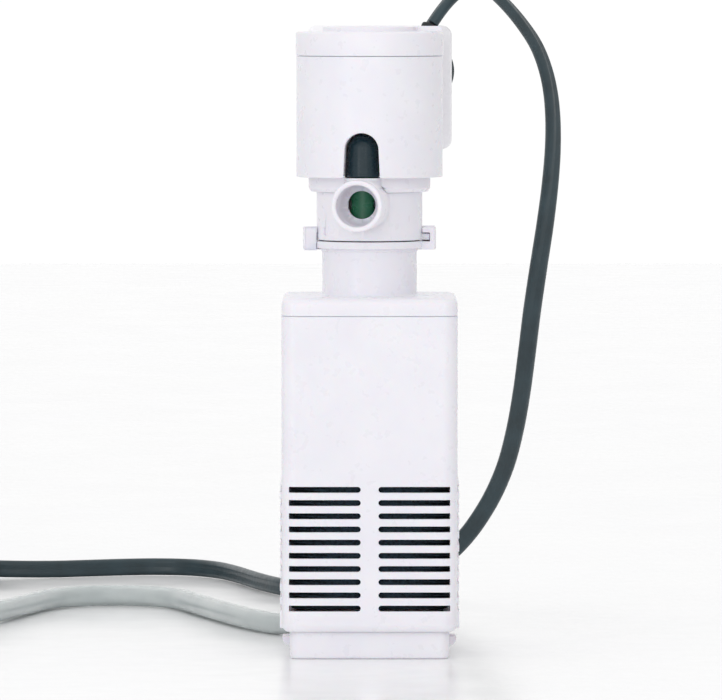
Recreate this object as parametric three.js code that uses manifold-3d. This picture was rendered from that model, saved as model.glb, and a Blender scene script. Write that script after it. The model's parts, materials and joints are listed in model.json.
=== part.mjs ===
// An internal power filter for an aquarium: a potted magnetic-drive pump head with an outlet spout,
// twisted onto a square canister of filter foam, with its mains lead and air hose.
//
// Millimetres. +Z is up and -Y is the front. The origin is on the head's axis, on the surface that
// the filter stands on.

import * as THREE from 'three';
import { mergeVertices } from 'three/addons/utils/BufferGeometryUtils.js';
import Module from 'manifold-3d';

const wasm = await Module();
wasm.setup();

// ---------------------------------------------------------------- driving dimensions

const GAP = 0.3; // running clearance between neighbouring pieces
const WALL = 1.6; // moulded wall
const HEAD_TURN = THREE.MathUtils.degToRad(-6.5); // the head is locked a little off square

const BASE = { halfX: 23.3, halfY: 22.8, corner: 3, top: 14, floor: 2 };
const EAR = { reach: 25.6, half: 4, low: 2, high: 5.1 };
const BODY = { halfX: 25.7, halfY: 25.2, corner: 4.5, bottom: 8.05, top: 100.1 };
const PAD = { proud: 0.5, half: 20.5, low: 8.8, high: 51.4 };
const SLOT = { rows: 10, first: 15, pitch: 3.855, height: 1.7, inner: 2.6, outer: 23.5, side: 21 };
const LID = { bottom: 100.4, top: 105.5, edge: 2, spigot: 97.4 };
const NECK = {
  radius: 13.9, bore: 12.2, step: 14.3, stepLow: 118.6, flange: 15.9, flangeLow: 119.4, top: 121.5,
};
const HOOK = { inner: 15.9, outer: 19.6, wall: 1.4, low: 119, high: 125.6, open: -13.5, closed: 14.2 };
const CHAMBER = { radius: 15.56, bottom: 121.8, top: 135.7, volute: 8.9, recess: 13, recessTop: 123.9 };
const SPOUT = { radius: 7.5, bore: 6, throat: 4.4, height: 132.6, face: 33.5, boreDepth: 13, root: 11 };
const VALVE = { offset: 15.6, radius: 4.2, pocket: 4.5, bottom: 127.6, port: 2.7 };
const KNOB = { radius: 5.2, foot: 5.5, bottom: 141.3, shoulder: 148.4, niche: 5.9, nicheTop: 154.8 };
const COLLAR = { radius: 17.9, bottom: 136, top: 140.9 };
const HOUSING = { radius: 19.4, wall: 1.2, top: 173.5, floor: 1.8 };
const WELL = { inner: 6, outer: 7, top: 158, roof: 1.2 };
const ROTOR = { magnet: 5.3, bore: 1.4, low: 140.7, high: 155.4, shaft: 1 };
const CORE = { limb: 9.9, halfX: 2.6, halfY: 5.5, low: 143.2, yoke: 168, high: 172 };
const COIL = { halfX: 4.8, halfY: 7.8, low: 159.9, high: 167.3 };
const COVER = { radius: 21.5, wall: 1.5, bottom: 140.3, top: 175.8 };
const CAP = { radius: 21.7, bottom: 176.1, top: 183, ring: 13.6, ringTop: 184.4, dish: 12.4 };
const LEAD_EXIT = { x: 17.2, y: 6.4, z: 184.6, hole: 2.7, lean: 28, towards: 36 };
const RAIL = { stem: 3.5, head: 6.5, low: 147.6, high: 172, back: 24.8 };
const PLATE = { half: 21.6, front: 25.1, back: 27.1, low: 147.9, high: 184.6, corner: 3 };
const CUP = { x: 11.8, z: 171, radius: 10.5 };

const LEAD = { radius: 2.3, sides: 8, steps: 48 };
const HOSE = { radius: 3.25, sides: 8, steps: 36 };
const LEAD_COIL = { x: -160, y: 234.5, radius: 33.5, half: 3.6, low: 1.4, high: 13.2, tieAt: -45 };
const HOSE_COIL = { x: -168, y: 92, radius: 35, half: 3.4, low: 1.4, high: 14.8, tieAt: 60 };
const PLUG = { x: -193.5, start: 200, relief: 20, body: 27, halfWidth: 12.5, height: 14, pinApart: 18.6 };

// The lead: up out of the cap, over in an arch, down behind the canister and away to the left.
const LEAD_ROUTE = [
  [17.4, 6.5, 185.1], [18.6, 7.5, 187.9], [21.3, 10.4, 191.6], [25.2, 15, 194.9], [30, 20.5, 196.7],
  [35.2, 26.8, 195.4], [40.5, 33.6, 190.9], [46.1, 41, 184.4], [50.2, 47.2, 178.2], [52.9, 52.4, 171.6],
  [54.6, 57.3, 164.6], [55.5, 62.7, 156.8], [55.7, 69, 147.4], [55.1, 76.5, 136.2], [53.8, 85, 123.6],
  [52, 94.5, 110], [50.3, 104, 96.4], [48.9, 113.5, 82.8], [47.5, 123, 70], [45.5, 133, 57],
  [42.4, 143, 44.4], [37, 152.5, 32], [29, 161.5, 20.2], [18.5, 169, 10.8], [6, 175, 4.9],
  [-7, 179.5, 3], [-18.5, 186.5, 3], [-27.5, 198.5, 3], [-33.8, 215, 3], [-39.2, 234, 3],
  [-44.5, 253, 3], [-50.3, 267.8, 3], [-58.6, 277.6, 3], [-69.5, 281.2, 3], [-81, 279.4, 3],
  [-92, 275.2, 3], [-105, 270.8, 3], [-121, 268, 3.3], [-139, 267.8, 4],
];

// The air hose: off the elbow, down behind the canister, along the floor to the left.
const HOSE_ROUTE = [
  [0, 24.2, 124.2], [-0.3, 28.2, 120], [-1.2, 32.4, 114.4], [-2.7, 36.2, 107], [-4.6, 38.8, 98],
  [-6.3, 40, 86], [-7.4, 40.2, 72], [-7.9, 40.2, 56], [-7.9, 40.2, 41], [-8.1, 40.3, 27.5],
  [-10.6, 42.4, 15.3], [-17.2, 47.9, 6.9], [-26, 56, 3.6], [-33, 67.5, 3.5], [-38.8, 81.5, 3.5],
  [-44.4, 98, 3.5], [-50, 116, 3.5], [-54.6, 131, 3.5], [-58.6, 144.1, 3.5], [-64.4, 154.2, 3.5],
  [-74.5, 160, 3.5], [-86.1, 160, 3.5], [-96.2, 154.2, 3.5], [-102, 144.1, 3.5], [-106, 130, 3.5],
  [-110.5, 114, 3.5], [-115.5, 97, 3.7], [-123, 80.5, 4], [-133, 68.2, 4.4],
];

// ---------------------------------------------------------------- solids from three.js geometry

const rad = THREE.MathUtils.degToRad;

function signedVolume(position, triangles) {
  const [a, b, c] = [new THREE.Vector3(), new THREE.Vector3(), new THREE.Vector3()];
  let volume = 0;
  for (let i = 0; i < triangles.length; i += 3) {
    a.fromArray(position, 3 * triangles[i]);
    b.fromArray(position, 3 * triangles[i + 1]);
    c.fromArray(position, 3 * triangles[i + 2]);
    volume += a.dot(b.cross(c)) / 6;
  }
  return volume;
}

// Turns a closed geometry into a solid, with shared corners merged and its faces pointing out.
function solid(geometry) {
  const bare = new THREE.BufferGeometry();
  bare.setAttribute('position', geometry.getAttribute('position'));
  bare.setIndex(geometry.getIndex());
  const merged = mergeVertices(bare, 1e-4);
  const position = merged.getAttribute('position').array;
  const index = merged.getIndex().array;
  const triangles = [];
  for (let i = 0; i < index.length; i += 3) {
    const [a, b, c] = index.slice(i, i + 3);
    if (a !== b && b !== c && c !== a) triangles.push(a, b, c);
  }
  if (signedVolume(position, triangles) < 0) triangles.reverse();
  return new wasm.Manifold(new wasm.Mesh({
    numProp: 3,
    vertProperties: new Float32Array(position),
    triVerts: new Uint32Array(triangles),
  }));
}

function join(first, ...others) {
  return others.reduce((sum, next) => sum.add(next), first);
}

function cut(first, ...others) {
  return others.reduce((rest, next) => rest.subtract(next), first);
}

// A shape drawn in the XY plane, raised from z0 to z1.
function prism(shape, z0, z1, curveSegments = 8) {
  const options = { depth: z1 - z0, bevelEnabled: false, curveSegments };
  return new THREE.ExtrudeGeometry(shape, options).translate(0, 0, z0);
}

// A profile of [radius, z] points, turned about the Z axis.
function turned(profile, segments = 36) {
  const points = profile.map(([r, z]) => new THREE.Vector2(r, z));
  return new THREE.LatheGeometry(points, segments).rotateX(Math.PI / 2);
}

function ring(inner, outer, z0, z1, segments = 32) {
  return turned([[inner, z0], [outer, z0], [outer, z1], [inner, z1], [inner, z0]], segments);
}

function disc(radius, z0, z1, segments = 36) {
  return new THREE.CylinderGeometry(radius, radius, z1 - z0, segments)
    .rotateX(Math.PI / 2)
    .translate(0, 0, (z0 + z1) / 2);
}

// A round bar along Y at height z.
function barY(radius, y0, y1, z, segments = 24) {
  return new THREE.CylinderGeometry(radius, radius, y1 - y0, segments).translate(0, (y0 + y1) / 2, z);
}

function block(x0, x1, y0, y1, z0, z1) {
  return new THREE.BoxGeometry(x1 - x0, y1 - y0, z1 - z0)
    .translate((x0 + x1) / 2, (y0 + y1) / 2, (z0 + z1) / 2);
}

function roundedOutline(halfX, halfY, corner) {
  const shape = new THREE.Shape();
  const [x, y] = [halfX - corner, halfY - corner];
  [[x, y], [-x, y], [-x, -y], [x, -y]].forEach(([cx, cy], quarter) => {
    shape.absarc(cx, cy, corner, (quarter * Math.PI) / 2, ((quarter + 1) * Math.PI) / 2, false);
  });
  return shape;
}

// A rounded square drawn in at each level: levels are [z, inset from the full outline].
function tapered(halfX, halfY, corner, levels, curveSegments = 4) {
  const rings = levels.map(([z, inset]) => {
    const outline = roundedOutline(halfX - inset, halfY - inset, Math.max(corner - inset, 0.4));
    return outline.getPoints(curveSegments).slice(0, -1).map((p) => [p.x, p.y, z]);
  });
  const count = rings[0].length;
  const index = [];
  for (let level = 0; level + 1 < rings.length; level += 1) {
    for (let i = 0; i < count; i += 1) {
      const [a, b] = [level * count + i, level * count + ((i + 1) % count)];
      index.push(a, b, b + count, a, b + count, a + count);
    }
  }
  const last = (rings.length - 1) * count;
  for (let i = 1; i + 1 < count; i += 1) {
    index.push(0, i + 1, i, last, last + i, last + i + 1);
  }
  const geometry = new THREE.BufferGeometry();
  geometry.setAttribute('position', new THREE.Float32BufferAttribute(rings.flat(2), 3));
  geometry.setIndex(index);
  return geometry;
}

// Part of a ring between two angles in degrees.
function sector(inner, outer, from, to, z0, z1) {
  const shape = new THREE.Shape();
  shape.absarc(0, 0, outer, rad(from), rad(to), false);
  shape.absarc(0, 0, inner, rad(to), rad(from), true);
  return prism(shape, z0, z1, 2);
}

// A round section carried along a smooth route.
function tube(route, radius, sides, steps) {
  const section = new THREE.Shape();
  for (let i = 0; i < sides; i += 1) {
    const angle = (2 * Math.PI * (i + 0.5)) / sides;
    const point = [radius * Math.cos(angle), radius * Math.sin(angle)];
    if (i === 0) section.moveTo(...point);
    else section.lineTo(...point);
  }
  const extrudePath = new THREE.CatmullRomCurve3(route.map((p) => new THREE.Vector3(...p)));
  return new THREE.ExtrudeGeometry(section, { extrudePath, steps, bevelEnabled: false });
}

// What is built square to the filter but belongs to the turned head is turned back first.
function squareInHead(geometry) {
  return geometry.rotateZ(-HEAD_TURN);
}

function piece(name, manifold, [color, roughness, metalness = 0]) {
  const { vertProperties, triVerts } = manifold.getMesh();
  const geometry = new THREE.BufferGeometry();
  geometry.setAttribute('position', new THREE.BufferAttribute(vertProperties, 3));
  geometry.setIndex(new THREE.BufferAttribute(triVerts, 1));
  geometry.computeVertexNormals();
  const mesh = new THREE.Mesh(geometry, new THREE.MeshStandardMaterial({ color, roughness, metalness }));
  mesh.name = name;
  return mesh;
}

const FINISH = {
  whiteAbs: [0xefebf4, 0.35],
  greyAbs: [0xcfd0d6, 0.5],
  blackAbs: [0x1f2f35, 0.4],
  greenAbs: [0x14583c, 0.4],
  foam: [0x0f1c28, 1],
  rubber: [0x1b2124, 0.7],
  clearedRubber: [0x24313a, 0.3],
  steel: [0x8d9094, 0.45, 0.9],
  winding: [0xa8562c, 0.4, 0.6],
  resin: [0x22242a, 0.3],
  magnet: [0x303236, 0.5, 0.2],
  ceramic: [0xf2f0ea, 0.25],
  lead: [0x26383e, 0.5],
  hose: [0xdfe6e6, 0.25],
  nickel: [0xc9cbcc, 0.25, 1],
  tie: [0x15181a, 0.6],
};

// ---------------------------------------------------------------- canister

function baseCap() {
  const { halfX, halfY, corner, top, floor } = BASE;
  const tray = solid(tapered(halfX, halfY, corner, [[0, 0.6], [0.6, 0], [top, 0]]));
  const hollow = solid(tapered(halfX - WALL, halfY - WALL, corner - WALL, [[floor, 0], [top + 1, 0]]));
  const ears = [-1, 1].map((side) => {
    const outline = new THREE.Shape();
    outline.moveTo(halfX - 1, EAR.low);
    outline.quadraticCurveTo(EAR.reach, EAR.low, EAR.reach, EAR.high);
    outline.lineTo(halfX - 1, EAR.high);
    const ear = prism(outline, -EAR.half, EAR.half, 4).rotateX(Math.PI / 2);
    return solid(side > 0 ? ear : ear.rotateZ(Math.PI));
  });
  return join(cut(tray, hollow), ...ears);
}

// One slot's outline: square at its outer end, and round at its inner end where it is a wide one.
function slotOutline(inner, outer, height, round) {
  const shape = new THREE.Shape();
  shape.moveTo(outer, -height / 2);
  shape.lineTo(outer, height / 2);
  if (round) shape.absarc(inner + height / 2, 0, height / 2, Math.PI / 2, (3 * Math.PI) / 2, false);
  else shape.lineTo(inner, height / 2).lineTo(inner, -height / 2);
  return shape;
}

// The slots through one face, drawn in the XZ plane at the front and turned to the face.
function faceSlots(outer, reach, turn, round) {
  const tools = [];
  for (let row = 0; row < SLOT.rows; row += 1) {
    for (const side of [1, -1]) {
      const slot = prism(slotOutline(SLOT.inner, outer, SLOT.height, round), -reach - 2, -reach + 4, 1)
        .rotateX(-Math.PI / 2)
        .scale(side, 1, 1);
      tools.push(solid(slot.translate(0, 0, SLOT.first + row * SLOT.pitch).rotateZ(turn)));
    }
  }
  return tools;
}

function canisterBody() {
  const { halfX, halfY, corner, bottom, top } = BODY;
  const levels = [[bottom, 1.6], [bottom + 0.5, 0.7], [bottom + 1.6, 0], [top, 0]];
  const outer = solid(tapered(halfX, halfY, corner, levels));
  const pads = solid(block(-halfX - PAD.proud, halfX + PAD.proud, -PAD.half, PAD.half, PAD.low, PAD.high));
  const hollow = solid(tapered(halfX - WALL, halfY - WALL, corner - WALL, [[bottom - 1, 0], [top + 1, 0]]));
  const slots = [
    ...faceSlots(SLOT.outer, halfY, 0, true),
    ...faceSlots(SLOT.outer, halfY, Math.PI, true),
    ...faceSlots(SLOT.side, halfX, Math.PI / 2, false),
    ...faceSlots(SLOT.side, halfX, -Math.PI / 2, false),
  ];
  return cut(join(outer, pads), hollow, ...slots);
}

function hook(turn) {
  const { inner, outer, wall, low, high, open, closed } = HOOK;
  const foot = sector(NECK.step, outer, open, closed, low, NECK.top);
  const back = sector(outer - wall, outer, open, closed, low, high);
  const arm = sector(inner, outer, open, closed, high - WALL, high);
  const stop = sector(inner, outer, closed - 3.4, closed, low, high);
  return join(...[foot, back, arm, stop].map((geometry) => solid(geometry.rotateZ(turn))));
}

function canisterLid() {
  const { halfX, halfY, corner } = BODY;
  const { bottom, top, edge, spigot } = LID;
  const levels = [[bottom, 0], [top - edge, 0], [top - edge / 3, edge * 0.3], [top, edge]];
  const plate = solid(tapered(halfX, halfY, corner, levels));
  const inside = halfX - WALL - GAP;
  const insideY = halfY - WALL - GAP;
  const skirt = solid(tapered(inside, insideY, corner - WALL - GAP, [[spigot, 0], [bottom + 1, 0]]));
  const hollow = solid(tapered(inside - 1.4, insideY - 1.4, 1.5, [[spigot - 1, 0], [top - 1.8, 0]]));
  const neck = solid(turned([
    [0, bottom + 2], [NECK.radius, bottom + 2], [NECK.radius, NECK.stepLow], [NECK.step, NECK.stepLow],
    [NECK.step, NECK.flangeLow], [NECK.flange, NECK.flangeLow], [NECK.flange, NECK.top], [0, NECK.top],
  ], 48));
  const bore = solid(disc(NECK.bore, spigot, NECK.top + 1, 32));
  const groove = solid(ring(13.4, 14.9, NECK.top - 1, NECK.top + 1));
  return cut(join(cut(join(plate, skirt), hollow), neck, hook(0), hook(Math.PI)), bore, groove);
}

function mediaGrid() {
  const plate = solid(block(-21.8, 21.8, -21.3, 21.3, 95.2, 96.8));
  const holes = [];
  for (const x of [-16, -8, 0, 8, 16]) {
    for (const y of [-16, -8, 0, 8, 16]) {
      holes.push(solid(block(x - 3, x + 3, y - 3, y + 3, 94, 98)));
    }
  }
  return cut(plate, ...holes);
}

function filterSponge() {
  return solid(tapered(21.4, 20.9, 2, [[14.6, 1], [15.6, 0], [93.8, 0], [94.8, 1]], 2));
}

// ---------------------------------------------------------------- wet end

function pumpChamber() {
  const { radius, bottom, top, volute, recess, recessTop } = CHAMBER;
  const throatStart = -SPOUT.face + SPOUT.boreDepth;
  const barrel = solid(disc(radius, bottom, top, 48));
  const spout = solid(barY(SPOUT.radius, -SPOUT.face, -SPOUT.root, SPOUT.height, 32));
  const ears = [0, Math.PI].map((turn) => (
    solid(squareInHead(sector(radius - 1, 17.9, -9.8, 9.8, bottom, HOOK.high - WALL - GAP).rotateZ(turn)))
  ));
  const boss = solid(squareInHead(barY(4.2, radius - 2, radius + 3, 129.5, 16)));
  return cut(
    join(barrel, spout, boss, ...ears),
    solid(disc(volute, recessTop - 1, top + 1, 32)),
    solid(disc(recess, bottom - 1, recessTop, 32)),
    solid(block(-3.4, 3.4, -13, -6, 126, 133.4)),
    solid(barY(SPOUT.bore, -SPOUT.face - 1, throatStart, SPOUT.height, 32)),
    solid(barY(SPOUT.throat, throatStart - 1, -SPOUT.root - 1, SPOUT.height, 24)),
    solid(disc(VALVE.pocket, VALVE.bottom - GAP, 142, 24).translate(0, -VALVE.offset, 0)),
    solid(ring(9.3, 10.9, top - 1.2, top + 1)),
    solid(squareInHead(barY(2.6, volute - 1, 22, 129.5, 16))),
    solid(squareInHead(block(-0.8, 0.8, -16.5, -14.8, 123.3, 125.6).rotateZ(rad(-58)))),
  );
}

function airNipple() {
  const arm = tube([[0, 12, 129.5], [0, 19.2, 129.5], [0, 21.4, 127.1], [0, 23.5, 125]], 2.2, 10, 8);
  const barb = new THREE.CylinderGeometry(2.2, 2.7, 2, 10).rotateX(rad(-135)).translate(0, 22.4, 126.1);
  const bore = tube([[0, 11, 129.5], [0, 19.2, 129.5], [0, 21.4, 127.1], [0, 24.9, 123.6]], 1.1, 6, 8);
  return cut(join(solid(arm), solid(barb)), solid(bore));
}

function intakePlate() {
  const plate = solid(disc(12.7, 122.1, 123.6));
  const hub = solid(disc(3.4, 122.1, 125.2, 20));
  const eyes = [0, 1, 2, 3, 4, 5].map((i) => (
    solid(disc(1.6, 121, 124.5, 10).translate(5.8, 0, 0).rotateZ((i * Math.PI) / 3))
  ));
  return cut(join(plate, hub), solid(disc(2.3, 123, 126, 16)), ...eyes);
}

function impeller() {
  const hub = solid(disc(3.1, 125.6, 140.4, 20));
  const vanes = [0, 1, 2, 3, 4, 5].map((i) => (
    solid(block(-0.6, 0.6, 2, 8, 126, 133).rotateZ((i * Math.PI) / 3))
  ));
  return cut(join(hub, ...vanes), solid(disc(ROTOR.bore, 125, 141, 16)));
}

function rotorMagnet() {
  return solid(ring(ROTOR.bore, ROTOR.magnet, ROTOR.low, ROTOR.high, 24));
}

// The rubber bush that holds one end of the ceramic shaft.
function shaftBush(radius, low, high) {
  return solid(ring(ROTOR.shaft + GAP, radius, low, high, 16));
}

function flowValve() {
  const { radius, bottom, port, offset } = VALVE;
  const spindle = solid(turned([
    [0, bottom], [radius, bottom], [radius, 137.4], [3.15, 137.4], [3.15, 138.9], [radius, 138.9],
    [radius, 140.35], [5, 140.35], [5, 141], [1.8, 141], [1.8, 146], [0, 146],
  ], 24));
  const crossPort = solid(barY(port, -6, 6, SPOUT.height, 16).rotateZ(Math.PI / 2));
  return cut(spindle, crossPort).translate([0, -offset, 0]);
}

// The sealing ring sits in the groove round the valve's spindle.
function knobSeal() {
  return solid(ring(3.45, VALVE.radius, 137.7, 138.6, 20).translate(0, -VALVE.offset, 0));
}

function flowKnob() {
  const { radius, foot, bottom, shoulder } = KNOB;
  const dome = [];
  for (let i = 0; i <= 6; i += 1) {
    const angle = (i * Math.PI) / 12;
    dome.push([radius * Math.cos(angle), shoulder + radius * Math.sin(angle)]);
  }
  dome[6][0] = 0;
  const profile = [
    [0, 146.4], [2.1, 146.4], [2.1, bottom], [foot, bottom], [foot, bottom + 0.8], [radius, bottom + 1.2],
    ...dome,
  ];
  return solid(turned(profile, 24)).translate([0, -VALVE.offset, 0]);
}

// ---------------------------------------------------------------- motor

// The arched niche that the knob stands in, open to the front.
function knobNiche() {
  const { niche, nicheTop } = KNOB;
  const round = solid(disc(niche, COLLAR.top - 6, nicheTop, 24).translate(0, -VALVE.offset, 0));
  const way = solid(block(-niche, niche, -26, -VALVE.offset, COLLAR.top - 6, nicheTop - niche));
  const arch = solid(barY(niche, -26, -VALVE.offset, nicheTop - niche, 24));
  return join(round, way, arch);
}

function motorHousing() {
  const { radius, wall, top, floor } = HOUSING;
  const cup = solid(turned([
    [0, WELL.top], [WELL.inner, WELL.top], [WELL.inner, COLLAR.bottom], [COLLAR.radius - 1, COLLAR.bottom],
    [COLLAR.radius - 0.2, COLLAR.bottom + 0.4], [COLLAR.radius, COLLAR.bottom + 1],
    [COLLAR.radius, COLLAR.top],
    [radius, COLLAR.top], [radius, top], [radius - wall, top], [radius - wall, COLLAR.top + floor],
    [WELL.outer, COLLAR.top + floor], [WELL.outer, WELL.top + WELL.roof], [0, WELL.top + WELL.roof],
  ], 40));
  const round = disc(KNOB.niche + wall, COLLAR.top, KNOB.nicheTop + 1.4, 24).translate(0, -VALVE.offset, 0);
  const nicheWall = solid(round).intersect(solid(disc(radius, COLLAR.top, top, 40)));
  const spoutWay = solid(barY(SPOUT.radius + GAP, -26, -SPOUT.root + GAP, SPOUT.height, 24));
  return cut(join(cup, nicheWall), knobNiche(), spoutWay);
}

// One limb of the laminated core, grown by a clearance for what it passes through.
function coreLimb(side, grow, low = CORE.low - grow, high = CORE.high + grow) {
  const [x, halfX, halfY] = [side * CORE.limb, CORE.halfX + grow, CORE.halfY + grow];
  return solid(block(x - halfX, x + halfX, -halfY, halfY, low, high));
}

function coreShape(grow) {
  const halfX = CORE.limb + CORE.halfX + grow;
  const halfY = CORE.halfY + grow;
  const yoke = solid(block(-halfX, halfX, -halfY, halfY, CORE.yoke - grow, CORE.high + grow));
  return join(coreLimb(-1, grow), coreLimb(1, grow), yoke);
}

function coilShape(side, grow) {
  const levels = [[COIL.low - grow, 0], [COIL.high + grow, 0]];
  const winding = tapered(COIL.halfX + grow, COIL.halfY + grow, 1.2, levels, 2);
  return solid(winding.translate(side * CORE.limb, 0, 0));
}

function statorCoil(side) {
  return cut(coilShape(side, 0), coreLimb(side, GAP, COIL.low - 1, COIL.high + 1));
}

function pottingResin() {
  const { radius, wall, floor, top } = HOUSING;
  const aroundNiche = disc(KNOB.niche + wall + GAP, 140, KNOB.nicheTop + 1.7, 24);
  return cut(
    solid(disc(radius - wall - GAP, COLLAR.top + floor + GAP, top - GAP, 36)),
    solid(disc(WELL.outer + GAP, 140, WELL.top + WELL.roof + GAP, 24)),
    solid(aroundNiche.translate(0, -VALVE.offset, 0)),
    coreShape(GAP),
    coilShape(-1, GAP),
    coilShape(1, GAP),
  );
}

function motorCover() {
  const { radius, wall, bottom, top } = COVER;
  const shell = solid(ring(radius - wall, radius, bottom, top, 48));
  const stem = solid(block(-RAIL.stem, RAIL.stem, radius - 0.8, RAIL.back - 0.8, RAIL.low - 1.6, RAIL.high));
  const head = solid(block(-RAIL.head, RAIL.head, RAIL.back - WALL, RAIL.back, RAIL.low - 1.6, RAIL.high));
  const ledge = solid(block(-8.4, 8.4, radius - 2.2, RAIL.back, RAIL.low - 1.6, RAIL.low));
  const tail = cut(join(stem, head, ledge), solid(disc(radius - 0.5, bottom, top, 48)));
  return cut(join(shell, tail), knobNiche());
}

// Leans a geometry drawn about the Z axis along the lead's way out of the cap.
function leaned(geometry) {
  const { x, y, z, lean, towards } = LEAD_EXIT;
  return geometry.rotateY(rad(lean)).rotateZ(rad(towards)).translate(x, y, z);
}

function topCap() {
  const { radius, bottom, top, dish, ringTop } = CAP;
  const shell = solid(turned([
    [0, top - 1.6], [18.7, top - 1.6], [18.7, bottom - 1.9], [19.7, bottom - 1.9], [19.7, bottom],
    [radius, bottom], [radius, top - 1], [radius - 0.3, top - 0.3], [radius - 1, top],
    [CAP.ring + 0.5, top], [CAP.ring, ringTop - 0.2], [CAP.ring - 0.3, ringTop], [dish, ringTop],
    [dish, top - 0.2], [0, top - 0.2],
  ], 48));
  const boss = prism(roundedOutline(4.4, 4, 1.8), top - 1, LEAD_EXIT.z, 3);
  const raised = solid(squareInHead(boss.translate(LEAD_EXIT.x, LEAD_EXIT.y, 0)));
  const hole = solid(squareInHead(leaned(disc(LEAD_EXIT.hole, -9, 5, 16))));
  const limit = solid(disc(radius, bottom - 3, top + 3, 48));
  return cut(join(shell, raised.intersect(limit)), hole);
}

// The rubber strain relief fills the hole in the cap and tapers down inside it.
function cordGland() {
  const fit = LEAD_EXIT.hole - GAP;
  return solid(leaned(turned([[0, -8.5], [1.6, -8.5], [fit, -3], [fit, 0], [0, 0]], 16)));
}

function hangerBracket() {
  const { half, front, back, low, high, corner } = PLATE;
  const outline = roundedOutline(half, (high - low) / 2, corner);
  const sheet = prism(outline, front, back, 4).rotateX(-Math.PI / 2);
  const plate = solid(sheet.translate(0, 0, (low + high) / 2));
  const lips = [-1, 1].flatMap((side) => [
    block(RAIL.stem + GAP, 8.4, 21.9, RAIL.back - WALL - GAP, low, 164),
    block(RAIL.head + GAP, 8.4, 21.9, front + 0.5, low, 164),
  ].map((lip) => solid(side > 0 ? lip : lip.scale(-1, 1, 1))));
  const holes = [-1, 1].map((side) => (
    solid(barY(3.3, front - 2, back + 2, CUP.z, 16).translate(side * CUP.x, 0, 0))
  ));
  return cut(join(plate, ...lips), ...holes);
}

function suctionCup(side) {
  const profile = [
    [0, 23.6], [4.2, 23.6], [4.2, 24.8], [3, 24.8], [3, 27.4], [5, 27.4], [6.5, 28.5], [CUP.radius, 32.2],
    [CUP.radius, 33.2], [CUP.radius - 1, 33.2], [6, 30.7], [3, 29.7], [0, 29.5],
  ];
  return solid(turned(profile, 20).rotateX(-Math.PI / 2).translate(side * CUP.x, 0, CUP.z));
}

// ---------------------------------------------------------------- lead, hose, coils and plug

function coilRing({ x, y, radius, half, low, high }) {
  const edge = 0.8;
  const [inner, outer] = [radius - half, radius + half];
  return solid(turned([
    [inner, low + edge], [inner + edge, low], [outer - edge, low], [outer, low + edge],
    [outer, high - edge], [outer - edge, high], [inner + edge, high], [inner, high - edge],
    [inner, low + edge],
  ], 28)).translate([x, y, 0]);
}

// A flat band round a coil's section.
function coilTie({ x, y, radius, half, low, high, tieAt }) {
  const band = 1;
  const outline = roundedOutline(half + GAP + band, (high - low) / 2 + GAP + band, 1.2);
  outline.holes.push(roundedOutline(half + GAP, (high - low) / 2 + GAP, 0.6));
  return solid(prism(outline, -2.5, 2.5, 2)
    .rotateX(Math.PI / 2)
    .translate(radius, 0, (low + high) / 2)
    .rotateZ(rad(tieAt))
    .translate(x, y, 0));
}

function leadTail() {
  const { x, start, height } = PLUG;
  const route = [[x, start + 13.4, 9.4], [x, start + 7, 7.8], [x, start + GAP, height / 2]];
  return solid(tube(route, LEAD.radius, LEAD.sides, 3));
}

function plugBody() {
  const { x, start, relief, body, halfWidth, height } = PLUG;
  const length = relief + 2;
  const sleeve = new THREE.CylinderGeometry(3.4, 5.4, length, 16);
  sleeve.translate(x, start - length / 2, height / 2);
  const outline = new THREE.Shape();
  outline.moveTo(-6, 0);
  outline.lineTo(6, 0);
  outline.quadraticCurveTo(halfWidth, -4, halfWidth, -10);
  outline.lineTo(halfWidth, -body);
  outline.lineTo(-halfWidth, -body);
  outline.lineTo(-halfWidth, -10);
  outline.quadraticCurveTo(-halfWidth, -4, -6, 0);
  const grip = prism(outline, 0, height, 5).translate(x, start - relief, 0);
  return join(solid(sleeve), solid(grip));
}

function plugPin(side) {
  const { x, start, relief, body, height, pinApart } = PLUG;
  const back = start - relief - body - GAP;
  const pin = barY(2, back - 19, back, height / 2, 16).translate(x + (side * pinApart) / 2, 0, 0);
  return solid(pin);
}

// ---------------------------------------------------------------- assembly

const filter = new THREE.Group();
const head = new THREE.Group();
head.rotation.z = HEAD_TURN;
filter.add(head);

head.add(
  piece('top_cap', topCap(), FINISH.whiteAbs),
  piece('motor_cover', motorCover(), FINISH.whiteAbs),
  piece('motor_housing', motorHousing(), FINISH.whiteAbs),
  piece('stator_core', coreShape(0), FINISH.steel),
  piece('stator_coil_left', statorCoil(-1), FINISH.winding),
  piece('stator_coil_right', statorCoil(1), FINISH.winding),
  piece('potting_resin', pottingResin(), FINISH.resin),
  piece('rotor_magnet', rotorMagnet(), FINISH.magnet),
  piece('impeller', impeller(), FINISH.whiteAbs),
  piece('rotor_shaft', solid(disc(ROTOR.shaft, 123.3, 157.6, 16)), FINISH.ceramic),
  piece('shaft_bush_top', shaftBush(4.5, 155.9, 157.6), FINISH.rubber),
  piece('shaft_bush_bottom', shaftBush(2, 123.3, 125.1), FINISH.rubber),
  piece('pump_chamber', pumpChamber(), FINISH.whiteAbs),
  piece('chamber_seal', solid(ring(9.6, 10.6, CHAMBER.top - 0.9, CHAMBER.top)), FINISH.rubber),
  piece('intake_plate', intakePlate(), FINISH.greyAbs),
  piece('flow_knob', flowKnob(), FINISH.blackAbs),
  piece('flow_valve', flowValve(), FINISH.greenAbs),
  piece('knob_seal', knobSeal(), FINISH.rubber),
  piece('hanger_bracket', hangerBracket(), FINISH.whiteAbs),
  piece('suction_cup_left', suctionCup(-1), FINISH.clearedRubber),
  piece('suction_cup_right', suctionCup(1), FINISH.clearedRubber),
);

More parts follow.
